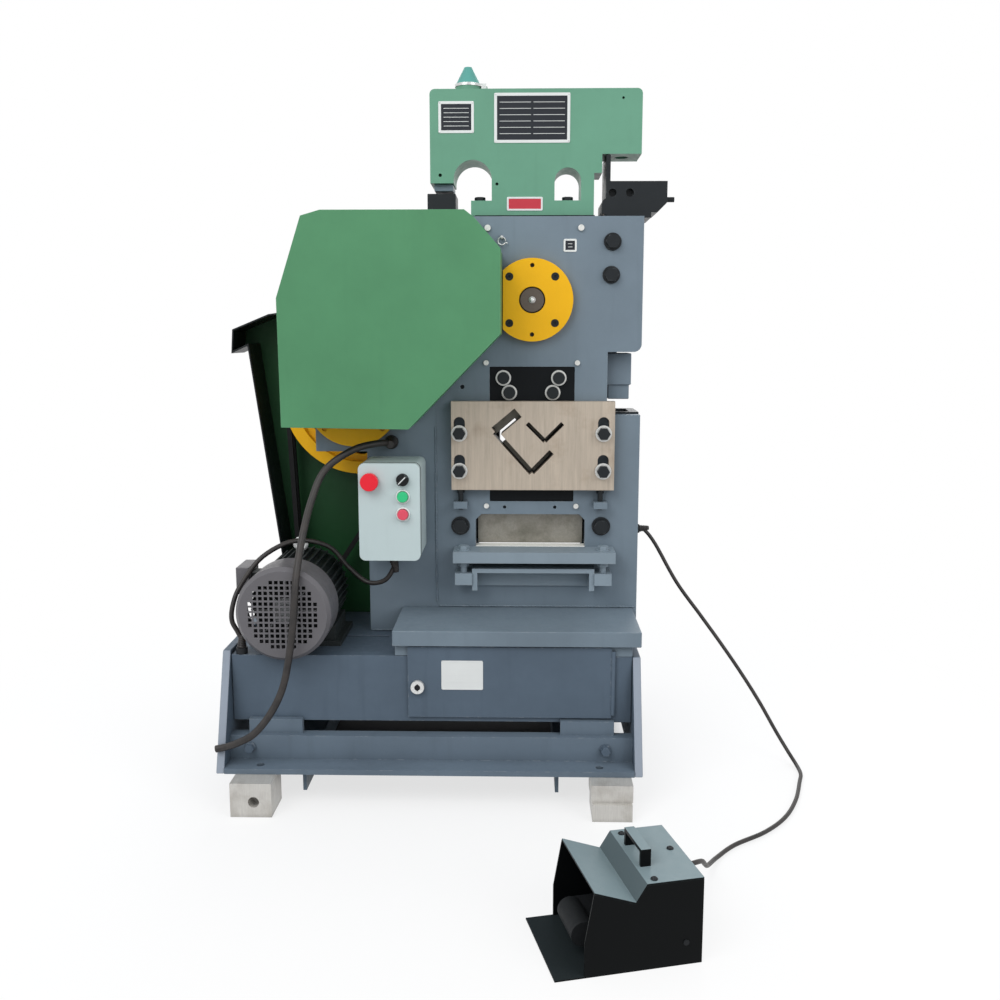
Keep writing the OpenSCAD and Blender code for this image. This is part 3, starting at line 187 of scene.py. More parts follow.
# Base: a welded sheet box on two angle rails with sloping end plates, a tool door with a round lock,
# and bright steel packers under the rails. All but the lock and the packers is sprayed blue-grey
# over the welds.
EDGE_ANGLE = radians(32.0)
FLAT_ANGLE = radians(0.8)
WELD_DISTANCE = 1e-5
THICK_EDGE, BLOCK_EDGE, PART_EDGE, BOLT_EDGE = 0.0025, 0.002, 0.0015, 0.0012
DUST_AND_SHEEN_FILM, PAINT_NOOK_DIRT_AND_SHADE, STEEL_NOOK_DIRT_AND_SHADE = "#93a6ab", "#23282b", "#1c1a18"
DEEPEST_WAVE = 0.10
LOCK_FACE = (-0.030, -0.3458, 0.251)
TOWARDS_FRONT = (0, -1, 0)


def srgb(code, gain=1.0):
    parts = [int(code[i:i + 2], 16) / 255 for i in (1, 3, 5)]
    line = [p / 12.92 if p <= 0.04045 else ((p + 0.055) / 1.055) ** 2.4 for p in parts]
    return (*[min(1.0, p * gain) for p in line], 1.0)


def mottle(tree, at, scale, detail, rough=0.5):
    return node(tree, "TexNoise", {"Vector": at, "Scale": scale, "Detail": detail,
                                   "Roughness": rough}).outputs["Fac"]


def stretched(tree, at, scale):
    return node(tree, "Mapping", {"Vector": at, "Scale": scale}).outputs[0]


def enamel(name, colour, rough=0.42, cloud=0.10, chips=0.5, under="#9aa0a4", peel=0.10,
           grime_and_shade=0.6, shine=0.2, dust_and_sheen=0.0):
    made, tree, bsdf = blank(name)
    bsdf.inputs["Specular IOR Level"].default_value = shine
    at = node(tree, "TexCoord").outputs["Object"]
    # Clouds in the paint, runs of dirt down it, and in the corners dark dirt and painted shade from
    # the ambient occlusion.
    patch = mottle(tree, at, 4.5, 6.0, 0.62)
    tint = blended(tree, remap(tree, patch, 0.3, 0.7), srgb(colour, 1 - cloud),
                   srgb(colour, 1 + cloud))
    smear = mottle(tree, stretched(tree, at, (14.0, 14.0, 1.2)), 3.0, 5.0)
    tint = blended(tree, remap(tree, smear, 0.56, 0.82, 0.0, 0.35 * grime_and_shade), tint,
                   srgb(colour, 0.55))
    nook_shade = node(tree, "AmbientOcclusion", {"Distance": 0.045}, samples=6).outputs["AO"]
    tint = blended(tree, remap(tree, nook_shade, 0.72, 0.2, 0.0, 0.7 * grime_and_shade), tint, srgb(PAINT_NOOK_DIRT_AND_SHADE))
    # Chips along the edges show what lies under the paint.
    turned = node(tree, "Bevel", {"Radius": 0.0035}, samples=4).outputs["Normal"]
    facing = node(tree, "NewGeometry").outputs["Normal"]
    along = node(tree, "VectorMath", {0: turned, 1: facing},
                 operation="DOT_PRODUCT").outputs["Value"]
    fleck = mottle(tree, at, 70.0, 7.0, 0.7)
    worn = times(tree, remap(tree, along, 0.995, 0.92),
                 remap(tree, fleck, 0.52, 0.60, 0.0, chips))
    tint = blended(tree, worn, tint, srgb(under))
    # A pale bluish film on faces that look up: dust, and a painted sheen of the bright sky above.
    if dust_and_sheen:
        lean = node(tree, "SeparateXYZ", {0: facing}).outputs["Z"]
        tint = blended(tree, remap(tree, lean, 0.2, 0.9, 0.0, dust_and_sheen), tint, srgb(DUST_AND_SHEEN_FILM))
    tree.links.new(tint, bsdf.inputs["Base Color"])
    tree.links.new(remap(tree, fleck, 0.3, 0.7, rough - 0.07, rough + 0.12),
                   bsdf.inputs["Roughness"])
    # Waves in the plate, and the fine peel of sprayed paint on them.
    wave = node(tree, "Bump", {"Height": mottle(tree, at, 22.0, 3.0), "Distance": 0.004,
                               "Strength": min(peel, DEEPEST_WAVE)})
    bump = node(tree, "Bump", {"Height": mottle(tree, at, 420.0, 2.0), "Distance": 0.0006,
                               "Strength": peel, "Normal": wave.outputs[0]})
    tree.links.new(bump.outputs[0], bsdf.inputs["Normal"])
    return made


def machined(name, colour, rough=0.30, grain=(1.0, 1.0, 40.0), stain="#5d5244", staining=0.4,
             metal=1.0):
    made, tree, bsdf = blank(name)
    bsdf.inputs["Metallic"].default_value = metal
    at = node(tree, "TexCoord").outputs["Object"]
    scratch = mottle(tree, stretched(tree, at, grain), 30.0, 8.0, 0.7)
    patch = mottle(tree, at, 14.0, 6.0, 0.6)
    tint = blended(tree, remap(tree, scratch, 0.3, 0.7), srgb(colour, 0.82), srgb(colour, 1.12))
    tint = blended(tree, remap(tree, patch, 0.52, 0.78, 0.0, staining), tint, srgb(stain))
    # In the corners dark dirt and painted shade, from the ambient occlusion.
    nook_shade = node(tree, "AmbientOcclusion", {"Distance": 0.02}, samples=6).outputs["AO"]
    tint = blended(tree, remap(tree, nook_shade, 0.7, 0.2, 0.0, 0.6), tint, srgb(STEEL_NOOK_DIRT_AND_SHADE))
    tree.links.new(tint, bsdf.inputs["Base Color"])
    tree.links.new(remap(tree, scratch, 0.3, 0.7, rough - 0.08, rough + 0.16),
                   bsdf.inputs["Roughness"])
    bump = node(tree, "Bump", {"Height": scratch, "Strength": 0.08, "Distance": 0.0006})
    tree.links.new(bump.outputs[0], bsdf.inputs["Normal"])
    return made


def placed(title, mesh, finish, body):
    mesh.materials.append(finish)
    made = linked(bpy.data.objects.new(title, mesh))
    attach(made, body)
    return made


def round_edges(made, width, steps=2):
    made.data.polygons.foreach_set("use_smooth", [True] * len(made.data.polygons))
    rounding = made.modifiers.new("rounding", "BEVEL")
    rounding.width = width
    rounding.segments = steps
    rounding.limit_method = "ANGLE"
    rounding.angle_limit = EDGE_ANGLE
    level = made.modifiers.new("level", "WEIGHTED_NORMAL")
    level.weight = 100
    level.keep_sharp = True
    return made


def dressed(cad, finish, width, steps=2):
    source = frame["nodes"][cad]
    shape = bmesh.new()
    shape.from_mesh(source.data)
    bmesh.ops.remove_doubles(shape, verts=shape.verts, dist=WELD_DISTANCE)
    bmesh.ops.dissolve_limit(shape, angle_limit=FLAT_ANGLE, verts=shape.verts, edges=shape.edges)
    mesh = bpy.data.meshes.new(cad + "_skin")
    shape.to_mesh(mesh)
    shape.free()
    made = placed(cad + "_skin", mesh, finish, source["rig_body"])
    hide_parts(cad)
    return round_edges(made, width, steps)


def second_finish(made, finish, belongs):
    made.data.materials.append(finish)
    for face in made.data.polygons:
        if belongs(face, [made.data.vertices[i].co for i in face.vertices]):
            face.material_index = 1


def turned_about(title, start, way, profile, sides=28):
    mesh = bpy.data.meshes.new(title)
    facing = Vector(way).to_track_quat("Z", "Y").to_matrix().to_4x4()
    seat = Matrix.Translation(start) @ facing
    pts = [seat @ Vector((r * cos(2 * pi * k / sides), r * sin(2 * pi * k / sides), h))
           for r, h in profile for k in range(sides)]
    walls = [(i * sides + k, i * sides + (k + 1) % sides,
              (i + 1) * sides + (k + 1) % sides, (i + 1) * sides + k)
             for i in range(len(profile) - 1) for k in range(sides)]
    ends = [tuple(reversed(range(sides))), tuple(range(len(pts) - sides, len(pts)))]
    mesh.from_pydata(pts, [], walls + ends)
    mesh.polygons.foreach_set("use_smooth", [True] * len(walls) + [False, False])
    return mesh


base_paint = enamel("base_enamel", "#586674", rough=0.46, cloud=0.12, chips=0.6, grime_and_shade=0.8)
dressed("base_box", base_paint, THICK_EDGE)
rail_paint = enamel("rail_enamel", "#687683", rough=0.44, cloud=0.10, chips=0.6, grime_and_shade=0.6)
dressed("base_rails", rail_paint, THICK_EDGE)
edge_paint = enamel("edge_enamel", "#98a1ad", rough=0.44, cloud=0.08, chips=0.5, grime_and_shade=0.4)
cheeks = dressed("end_plates", base_paint, THICK_EDGE)
second_finish(cheeks, edge_paint, lambda face, corners: face.normal.y < -0.5)
dressed("tool_door", base_paint, PART_EDGE)
dressed("base_bolts", base_paint, BOLT_EDGE)
packer_steel = machined("packer_steel", "#d3d0ca", rough=0.36, grain=(40.0, 1.0, 1.0),
                        stain="#6f5f4a", staining=0.45, metal=0.35)
dressed("packers", packer_steel, BLOCK_EDGE)
lock_chrome = machined("lock_chrome", "#e2e2e0", rough=0.2, grain=(6.0, 6.0, 6.0), staining=0.05,
                       metal=0.3)
dressed("door_lock", lock_chrome, BOLT_EDGE)
lock_black = enamel("lock_black", "#17181b", rough=0.4, chips=0.0, peel=0.02, grime_and_shade=0.1)
barrel = turned_about("lock_barrel", LOCK_FACE, TOWARDS_FRONT,
                      [(0.0066, 0.0), (0.0066, 0.0006), (0.0060, 0.0009), (0.0003, 0.0009)], 32)
placed("lock_barrel", barrel, lock_black, "lock")

# Frame: two thick flame-cut plates with a solid spacer at each side, a bracket plate at the left and
# the ledge over the base. A riveted plate without words is on the frame, and another on the door.
PLATE_THICK, PLATE_SUNK = 0.0014, 0.0005
PLATE_CORNER, CORNER_POINTS, LEAST_CORNER = 0.003, 5, 0.0004
RULE_GAP, RULE_THICK, RULE_HIGH = 0.006, 0.0004, 0.0011
RIM_FINISH, FIELD_FINISH, PIN_FINISH = 0, 1, 2
DOOR_FRONT_Y, FRAME_FRONT_Y = -0.3364, -0.130


def label_plate(title, x0, x1, z0, z1, y, rim, finishes, body, rows=0, columns=1, pins=True):
    shape = bmesh.new()
    front, field = y - PLATE_THICK, y - PLATE_THICK + PLATE_SUNK
    mid_x, mid_z = (x0 + x1) / 2, (z0 + z1) / 2
    left_c, right_c = x0 + PLATE_CORNER, x1 - PLATE_CORNER
    low_c, top_c = z0 + PLATE_CORNER, z1 - PLATE_CORNER

    def loop(inset, depth):
        ring = []
        bend = max(PLATE_CORNER - inset, LEAST_CORNER)
        pull = max(inset - PLATE_CORNER + LEAST_CORNER, 0.0)
        for cx, cz, turn in ((right_c, top_c, 0), (left_c, top_c, 90),
                             (left_c, low_c, 180), (right_c, low_c, 270)):
            for k in range(CORNER_POINTS):
                a = radians(turn + 90 * k / (CORNER_POINTS - 1))
                px, pz = cx + bend * cos(a), cz + bend * sin(a)
                px += -pull if px > mid_x else pull
                pz += -pull if pz > mid_z else pull
                ring.append(shape.verts.new((px, depth, pz)))
        return ring

    def finish_of(made, index, smooth=False):
        for face in {f for v in made["verts"] for f in v.link_faces}:
            face.material_index = index
            face.smooth = smooth

    rings = [loop(0.0, y - 0.0001), loop(0.0, front + 0.0003), loop(0.0003, front),
             loop(rim, front), loop(rim + 0.0002, field)]
    for a, b in zip(rings, rings[1:]):
        for i in range(len(a)):
            shape.faces.new((a[i], a[(i + 1) % len(a)], b[(i + 1) % len(b)], b[i]))
    shape.faces.new(list(reversed(rings[0])))
    shape.faces.new(rings[-1]).material_index = FIELD_FINISH
    span = (x1 - x0 - 2 * rim - RULE_GAP * (columns + 1)) / columns
    step = (z1 - z0 - 2 * rim) / (rows + 1)
    for row in range(rows):
        for col in range(columns):
            centre = (x0 + rim + RULE_GAP + col * (span + RULE_GAP) + span / 2, field - 0.0001,
                      z1 - rim - step * (row + 1))
            rule = Matrix.Translation(centre) @ Matrix.Diagonal((span, RULE_THICK, RULE_HIGH, 1))
            finish_of(bmesh.ops.create_cube(shape, size=1.0, matrix=rule), RIM_FINISH)
    if pins:
        for px in (x0 + rim / 2, x1 - rim / 2):
            for pz in (z0 + rim / 2, z1 - rim / 2):
                head = (Matrix.Translation((px, front, pz)) @ Matrix.Rotation(pi / 2, 4, "X")
                        @ Matrix.Diagonal((1, 1, 0.5, 1)))
                finish_of(bmesh.ops.create_uvsphere(shape, u_segments=12, v_segments=8,
                                                    radius=rim * 0.32, matrix=head),
                          PIN_FINISH, True)
    bmesh.ops.recalc_face_normals(shape, faces=shape.faces)
    mesh = bpy.data.meshes.new(title)
    shape.to_mesh(mesh)
    shape.free()
    placed(title, mesh, finishes[0], body)
    for extra in finishes[1:]:
        mesh.materials.append(extra)


frame_paint = enamel("frame_enamel", "#76848f", rough=0.40, cloud=0.09, chips=0.55, grime_and_shade=0.55)
for cad, width in (("front_plate", THICK_EDGE), ("rear_plate", THICK_EDGE),
                   ("frame_spacers", BLOCK_EDGE), ("drive_bracket", THICK_EDGE),
                   ("base_ledge", BLOCK_EDGE), ("gear_guard", BLOCK_EDGE)):
    dressed(cad, frame_paint, width)
plate_white = enamel("plate_white", "#e6e8e6", rough=0.35, cloud=0.04, chips=0.0, peel=0.02,
                     grime_and_shade=0.15)
plate_dark = enamel("plate_dark", "#2a2d33", rough=0.35, cloud=0.08, chips=0.0, peel=0.02,
                    grime_and_shade=0.1)
pin_bright = machined("pin_bright", "#d6d7d6", rough=0.25, grain=(6.0, 6.0, 6.0), staining=0.1,
                      metal=0.4)
label_plate("door_plate", 0.0235, 0.1167, 0.2440, 0.3115, DOOR_FRONT_Y, 0.0035,
            (plate_white, plate_white, pin_bright), "door", rows=3)
label_plate("frame_plate", 0.2953, 0.3253, 1.2165, 1.2454, FRAME_FRONT_Y, 0.004,
            (plate_white, plate_dark, pin_bright), "frame", rows=2)

# Weld beads: ripples of weld metal along the frame's foot, up the bracket's corner and on the deck.
# They are laid by hand and sprayed with the frame.
BEAD_Y, BEAD_RADIUS, RIPPLE = -0.1305, 0.0028, 0.0016
BEADS = (
    ("foot_weld", (0.004, BEAD_Y, 0.3835), (0.474, BEAD_Y, 0.3835)),
    ("bracket_weld", (-0.0015, BEAD_Y, 0.395), (-0.0015, BEAD_Y, 0.815)),
    ("deck_weld", (-0.160, BEAD_Y, 0.3225), (-0.090, BEAD_Y, 0.3225)),
)


def drawn(title, places, radius, facets, finish, swell=None, closed=False):
    curve = bpy.data.curves.new(title, "CURVE")
    curve.dimensions = "3D"
    curve.bevel_depth = radius
    curve.bevel_resolution = facets
    curve.use_fill_caps = not closed
    spline = curve.splines.new("POLY")
    spline.points.add(len(places) - 1)
    for k, (point, place) in enumerate(zip(spline.points, places)):
        point.co = (*place, 1.0)
        if swell:
            point.radius = swell(k)
    spline.use_cyclic_u = closed
    curve.materials.append(finish)
    made = linked(bpy.data.objects.new(title, curve))
    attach(made, "frame")
    return made


def rippled(k):
    return 0.86 + 0.16 * sin(k * 1.35) + 0.08 * sin(k * 0.21)


for title, start, end in BEADS:
    a, b = Vector(start), Vector(end)
    count = int((b - a).length / RIPPLE)
    drawn(title, [a.lerp(b, k / count) for k in range(count + 1)], BEAD_RADIUS, 3, frame_paint,
          swell=rippled)

# Loose pin: a bent wire ring hangs on a turned peg in the frame plate, beside the guard.
# Both are bare bright steel.
RING_X, RING_Y, RING_Z, RING_RADIUS = 0.1542, -0.1375, 1.2405, 0.0085
WIRE_RADIUS = 0.0014
RING_SHARE, RING_POINTS = 40, 38
RING_TAIL = [(0.1640, -0.1390, 1.2370), (0.1672, -0.1395, 1.2345)]
PEG_FOOT = (RING_X, -0.1302, 1.2490)
turns = [2 * pi * k / RING_SHARE for k in range(RING_POINTS)]
ring_pts = [(RING_X + RING_RADIUS * cos(t), RING_Y + 0.0015 * cos(2 * t),
             RING_Z + RING_RADIUS * sin(t)) for t in turns]
drawn("ring_pin", ring_pts + RING_TAIL, WIRE_RADIUS, 3, pin_bright)
peg = turned_about("ring_peg", PEG_FOOT, TOWARDS_FRONT,
                   [(0.0042, 0.0), (0.0042, 0.004), (0.0034, 0.0048), (0.0022, 0.0052),
                    (0.0022, 0.0105), (0.0030, 0.0110), (0.0030, 0.0128), (0.0018, 0.0136)], 20)
placed("ring_peg", peg, pin_bright, "frame")

# Bearings: the ram slides on bronze gibs, and the crank turns in bronze bushes pressed into the
# plates. They are bare metal with oil on it.


def coat(cad, finish):
    made = frame["nodes"][cad]
    made.data.materials.clear()
    made.data.materials.append(finish)


bronze = machined("bearing_bronze", "#b08445", rough=0.34, grain=(8.0, 8.0, 8.0))
for cad in ("ram_gibs", "crank_bushes"):
    coat(cad, bronze)

# Ram and punch head: a black-oxide ram between the plates carries the green casting with its arched
# bolt windows, its oil cup with a hinged pointed lid, two riveted plates left without words, and a
# plain red plate below them.
HEAD_FRONT_Y = -0.085
LID_RIM_Z = 1.6035
CAST_EDGE, SMALL_EDGE = 0.004, 0.001
head_paint = enamel("head_enamel", "#6c9f86", rough=0.38, cloud=0.07, chips=0.25, under="#9fc4b2",
                    grime_and_shade=0.35)
dressed("punch_head", head_paint, CAST_EDGE, 3)
dressed("oil_cup", head_paint, SMALL_EDGE)
label_plate("head_plate_large", 0.1357, 0.3095, 1.4638, 1.5735, HEAD_FRONT_Y, 0.0065,
            (plate_white, plate_dark, pin_bright), "ram", rows=6, columns=2)
label_plate("head_plate_small", 0.0080, 0.0895, 1.4858, 1.5558, HEAD_FRONT_Y, 0.006,
            (plate_white, plate_dark, pin_bright), "ram", rows=5)
plate_red = enamel("plate_red", "#c8404c", rough=0.32, cloud=0.05, chips=0.0, peel=0.02, grime_and_shade=0.1)
label_plate("head_plate_low", 0.1650, 0.2480, 1.3130, 1.3440, HEAD_FRONT_Y, 0.004,
            (plate_white, plate_red, pin_bright), "ram", pins=False)
lid_paint = enamel("lid_enamel", "#5fa59b", rough=0.34, cloud=0.08, chips=0.2, grime_and_shade=0.3)
lid = dressed("oil_lid", lid_paint, SMALL_EDGE)
second_finish(lid, pin_bright, lambda face, corners: max(c.z for c in corners) < LID_RIM_Z)
oxide = enamel("black_oxide", "#202427", rough=0.36, cloud=0.16, chips=0.4, under="#6c6e70",
               peel=0.05, grime_and_shade=0.5)
# A darker copy of the black oxide for the ram block and the section holder: painted shade of the
# plate opening they sit in.
oxide_in_painted_shade = enamel("oxide_in_painted_shade", "#121518", rough=0.42, cloud=0.14, chips=0.25, under="#55585b",
                   peel=0.04, grime_and_shade=0.3, shine=0.1)
dressed("ram_block", oxide_in_painted_shade, PART_EDGE)
dressed("head_bolts", oxide, SMALL_EDGE)

# Stations: the ground section plate with its clamp bolts, the black blocks and dies, the flat-bar
# blades and the table bar that lies on two studs. The clamp bolts have bright washers.
DIE_EDGE, FINE_EDGE = 0.003, 0.0008
CLAMP_WASHER, BLOCK_WASHER = (0.0149, 0.019), (0.0139, 0.018)
BLOCK_BOLTS = ((0.158, 0.930), (0.287, 0.930), (0.172, 0.896), (0.273, 0.896))
RINGS = [(x, z, *CLAMP_WASHER) for x in (0.056, 0.391) for z in (0.715, 0.803)]
RINGS += [(x, z, *BLOCK_WASHER) for x, z in BLOCK_BOLTS]
RINGS += [(x, 1.270, 0.0, 0.007) for x in (0.122, 0.335)]
RINGS += [(x, z, 0.0, 0.006) for x in (0.118, 0.330) for z in (0.628, 0.965)]
RIM_BAND = 0.0008


def on_washer(face, corners):
    x, z, inner, rim = min(RINGS, key=lambda ring: hypot(face.center.x - ring[0],
                                                         face.center.z - ring[1]))
    reach = [hypot(corner.x - x, corner.z - z) for corner in corners]
    return min(reach) > inner and rim - RIM_BAND < max(reach) < rim + RIM_BAND


ground = machined("ground_plate", "#bbae9e", rough=0.36, grain=(6.0, 6.0, 0.3), stain="#8b7660",
                  staining=0.5, metal=0.3)
dressed("section_plate", ground, FINE_EDGE)
worn_blade = machined("worn_blade", "#959187", rough=0.42, grain=(6.0, 6.0, 6.0), stain="#4d4a3a",
                      staining=0.8, metal=0.4)
dressed("strip_blade_upper", worn_blade, FINE_EDGE)
dressed("section_blade", worn_blade, FINE_EDGE)
# The lower strip blade is painted near-white matte rather than steel: a painted glint on its ground
# edge, which sits in shade.
painted_glint_white = enamel("painted_glint_white", "#fffcf4", rough=0.34, cloud=0.03, chips=0.0, peel=0.02,
                     grime_and_shade=0.0)
dressed("strip_blade_lower", painted_glint_white, FINE_EDGE)
table_paint = enamel("table_enamel", "#8a98a2", rough=0.40, cloud=0.08, chips=0.5, grime_and_shade=0.4)
# The section holder takes the ram's darker black, painted shade.
for cad, width, finish in (("die_holder", DIE_EDGE, oxide), ("lower_tools", PART_EDGE, oxide),
                           ("section_holder", SMALL_EDGE, oxide_in_painted_shade),
                           ("jack_screws", FINE_EDGE, oxide),
                           ("table_bar", BLOCK_EDGE, table_paint),
                           ("table_bracket", BLOCK_EDGE, table_paint),
                           ("ram_tools", BLOCK_EDGE, frame_paint)):
    dressed(cad, finish, width)
zinc = machined("zinc_washer", "#e0e0dc", rough=0.3, grain=(6.0, 6.0, 6.0), staining=0.12,
                metal=0.3)
second_finish(dressed("front_bolts", oxide, SMALL_EDGE), zinc, on_washer)

# Drive: a yellow flange over the crank's front bearing with a grease nipple in the shaft's end, the
# yellow flywheel on its shaft, two pairs of cut gears and a pair of belts down to the motor.
CRANK_FACE = (0.224, -0.1519, 1.108)
signal_yellow = enamel("signal_yellow", "#fabb1a", rough=0.36, cloud=0.06, chips=0.4,
                       under="#c98f1c", grime_and_shade=0.35)
for cad in ("bearing_flange", "flywheel", "bearing_caps"):
    dressed(cad, signal_yellow, PART_EDGE)
gear_steel = machined("gear_steel", "#77797b", rough=0.36, grain=(8.0, 8.0, 8.0), stain="#3a3128",
                      staining=0.6)
for cad in ("crank_gear", "counter_shaft", "counter_gear", "flywheel_shaft", "motor_rotor"):
    coat(cad, gear_steel)
oily_steel = machined("oily_steel", "#5d544c", rough=0.40, grain=(8.0, 8.0, 8.0), stain="#3d2a20",
                      staining=0.7, metal=0.6)
coat("crank_shaft", oily_steel)
nipple = turned_about("grease_nipple", CRANK_FACE, TOWARDS_FRONT,
                      [(0.0078, 0.0), (0.0078, 0.0010), (0.0052, 0.0014), (0.0046, 0.0030),
                       (0.0056, 0.0048), (0.0050, 0.0066), (0.0030, 0.0078), (0.0008, 0.0082)])
placed("grease_nipple", nipple, pin_bright, "crank")
belt_black = enamel("belt_rubber", "#1d1d1e", rough=0.72, cloud=0.2, chips=0.0, peel=0.2, grime_and_shade=0.2)
coat("v_belts", belt_black)

# Guards: a folded green sheet over the front gears, a black channel round the belts with a dark
# green back sheet.
guard_paint = enamel("guard_enamel", "#558e66", rough=0.44, cloud=0.08, chips=0.3,
                     under="#8fbf9f", grime_and_shade=0.3)
dressed("drive_guard", guard_paint, BLOCK_EDGE)
guard_black = enamel("guard_black", "#1f2224", rough=0.4, cloud=0.15, chips=0.3, under="#5a5c5e",
                     grime_and_shade=0.3)
dressed("belt_guard", guard_black, SMALL_EDGE)
back_green = enamel("back_green", "#1f4a2a", rough=0.42, cloud=0.15, chips=0.2, grime_and_shade=0.5)
dressed("belt_back", back_green, SMALL_EDGE)

# Motor: a finned cast body on two feet with a plated lifting eye, a pressed fan cowl with a pierced
# face, and a terminal box on its side.
LIFT_X, LIFT_Y, LIFT_RADIUS, FIN_TOP = -0.319, -0.170, 0.0205, 0.5245
FIN_EDGE = 0.0005


def on_lifting_eye(face, corners):
    away = hypot(face.center.x - LIFT_X, face.center.y - LIFT_Y)
    return face.center.z > FIN_TOP and away < LIFT_RADIUS


cast_black = enamel("cast_black", "#2f3434", rough=0.5, cloud=0.2, chips=0.2, peel=0.3, grime_and_shade=0.5)
second_finish(dressed("motor_body", cast_black, FIN_EDGE, 1), pin_bright, on_lifting_eye)
cowl_grey = enamel("cowl_grey", "#6a686b", rough=0.34, cloud=0.08, chips=0.2, grime_and_shade=0.4)
dressed("motor_cowl", cowl_grey, FINE_EDGE)
dressed("terminal_box", cowl_grey, BLOCK_EDGE)

# Control box: a moulded pale shell in two halves with a gasket between them. An emergency stop, a
# selector and two push buttons with pale bezels stand on its lid.
SHELL_EDGE, MARK_EDGE = 0.006, 0.0003
LID_FRONT_Y, SEAM_Y = -0.2750, -0.2560
SHELL_LEFT, SHELL_RIGHT, SHELL_LOW, SHELL_TOP, SHELL_CORNER = -0.164, -0.026, 0.525, 0.746, 0.014
CORNER_STEPS = 8
BUTTON_X = -0.064
BEZELS = (
    ("start_bezel", BUTTON_X, 0.672, 0.0125, 0.0160, 0.0052),
    ("stop_bezel", BUTTON_X, 0.632, 0.0125, 0.0160, 0.0052),
    ("e_stop_collar", -0.137, 0.706, 0.0090, 0.0150, 0.0006),
)
MARK_PLACE, MARK_SIZE = (BUTTON_X, -0.2953, 0.710), (0.0022, 0.0008, 0.0225, 1)
shell = enamel("moulded_shell", "#c5d4d4", rough=0.36, cloud=0.03, chips=0.0, peel=0.12, grime_and_shade=0.2)
dressed("control_box", shell, SHELL_EDGE, 3)
for cad, colour in (("e_stop", "#ef2b3a"), ("start_button", "#3cc985"),
                    ("stop_button", "#e6566a"), ("selector", "#1e2022")):
    plastic = enamel(cad + "_plastic", colour, rough=0.28, cloud=0.03, chips=0.0, peel=0.02,
                     grime_and_shade=0.1)
    dressed(cad, plastic, PART_EDGE, 3)
bezel_white = enamel("bezel_white", "#e8ecea", rough=0.3, cloud=0.02, chips=0.0, peel=0.02,
                     grime_and_shade=0.1)
for title, x, z, inner, outer, height in BEZELS:
    ring = turned_about(title, (x, LID_FRONT_Y, z), TOWARDS_FRONT,
                        [(inner, -0.0002), (outer, -0.0002), (outer, height * 0.7),
                         (outer - 0.001, height), (inner + 0.0006, height),
                         (inner, height * 0.8), (inner, -0.0002)], 40)
    ring.validate()
    shape = bmesh.new()
    shape.from_mesh(ring)
    bmesh.ops.delete(shape, geom=[f for f in shape.faces if len(f.verts) > 4],
                     context="FACES_ONLY")
    bmesh.ops.remove_doubles(shape, verts=shape.verts, dist=1e-6)
    bmesh.ops.recalc_face_normals(shape, faces=shape.faces)
    shape.to_mesh(ring)
    shape.free()
    placed(title, ring, bezel_white, "frame")
mark = bmesh.new()
bmesh.ops.create_cube(mark, size=1.0, matrix=Matrix.Translation(MARK_PLACE)
                      @ Matrix.Rotation(radians(45), 4, "Y") @ Matrix.Diagonal(MARK_SIZE))
mark_mesh = bpy.data.meshes.new("selector_mark")
mark.to_mesh(mark_mesh)
mark.free()
round_edges(placed("selector_mark", mark_mesh, bezel_white, "selector"), MARK_EDGE)
gland_black = enamel("gland_plastic", "#2a2c2e", rough=0.5, cloud=0.08, chips=0.0, grime_and_shade=0.3)
dressed("glands", gland_black, SMALL_EDGE)
outline = []
for cx, cz, turn in ((SHELL_RIGHT - SHELL_CORNER, SHELL_TOP - SHELL_CORNER, 0),
                     (SHELL_LEFT + SHELL_CORNER, SHELL_TOP - SHELL_CORNER, 90),
                     (SHELL_LEFT + SHELL_CORNER, SHELL_LOW + SHELL_CORNER, 180),
                     (SHELL_RIGHT - SHELL_CORNER, SHELL_LOW + SHELL_CORNER, 270)):
    for k in range(CORNER_STEPS + 1):
        a = radians(turn + 90 * k / CORNER_STEPS)
        outline.append((cx + SHELL_CORNER * cos(a), SEAM_Y, cz + SHELL_CORNER * sin(a)))
drawn("shell_gasket", outline, 0.0009, 2, gland_black, closed=True)

# Foot switch: a folded black sheet box with a hood over the treadle and a strap handle on top.
# Three round-headed screws hold the hood down, and a pale bluish film on what faces up is dust with a
# painted sheen.
SWITCH = Matrix.Translation((0.358, -0.917, 0.0)) @ Matrix.Rotation(radians(14), 4, "Z")
HOOD_TOP = 0.152
DOME = [(0.0062, -0.0002), (0.0062, 0.0008), (0.0056, 0.0022), (0.0040, 0.0034),
        (0.0022, 0.0039), (0.0022, 0.0022), (0.0006, 0.0020)]
for cad, dust_and_sheen in (("pedal_base", 0.06), ("pedal_hood", 0.75)):
    sheet_black = enamel(cad + "_black", "#0c0e0f", rough=0.34, cloud=0.05, chips=0.1,
                         under="#4f5458", peel=0.01, grime_and_shade=0.2, shine=0.08, dust_and_sheen=dust_and_sheen)
    dressed(cad, sheet_black, FINE_EDGE)
tread_rubber = enamel("tread_rubber", "#202224", rough=0.62, cloud=0.12, chips=0.0, peel=0.25,
                      grime_and_shade=0.2)
dressed("pedal_treadle", tread_rubber, BLOCK_EDGE)
for title, x, y in (("hood_screw_back", 0.044, 0.0780), ("hood_screw_front", 0.044, -0.0830),
                    ("hood_screw_side", 0.108, 0.0080)):
    screw = turned_about(title, SWITCH @ Vector((x, y, HOOD_TOP)), (0, 0, 1), DOME, 24)
    placed(title, screw, oxide, "frame")

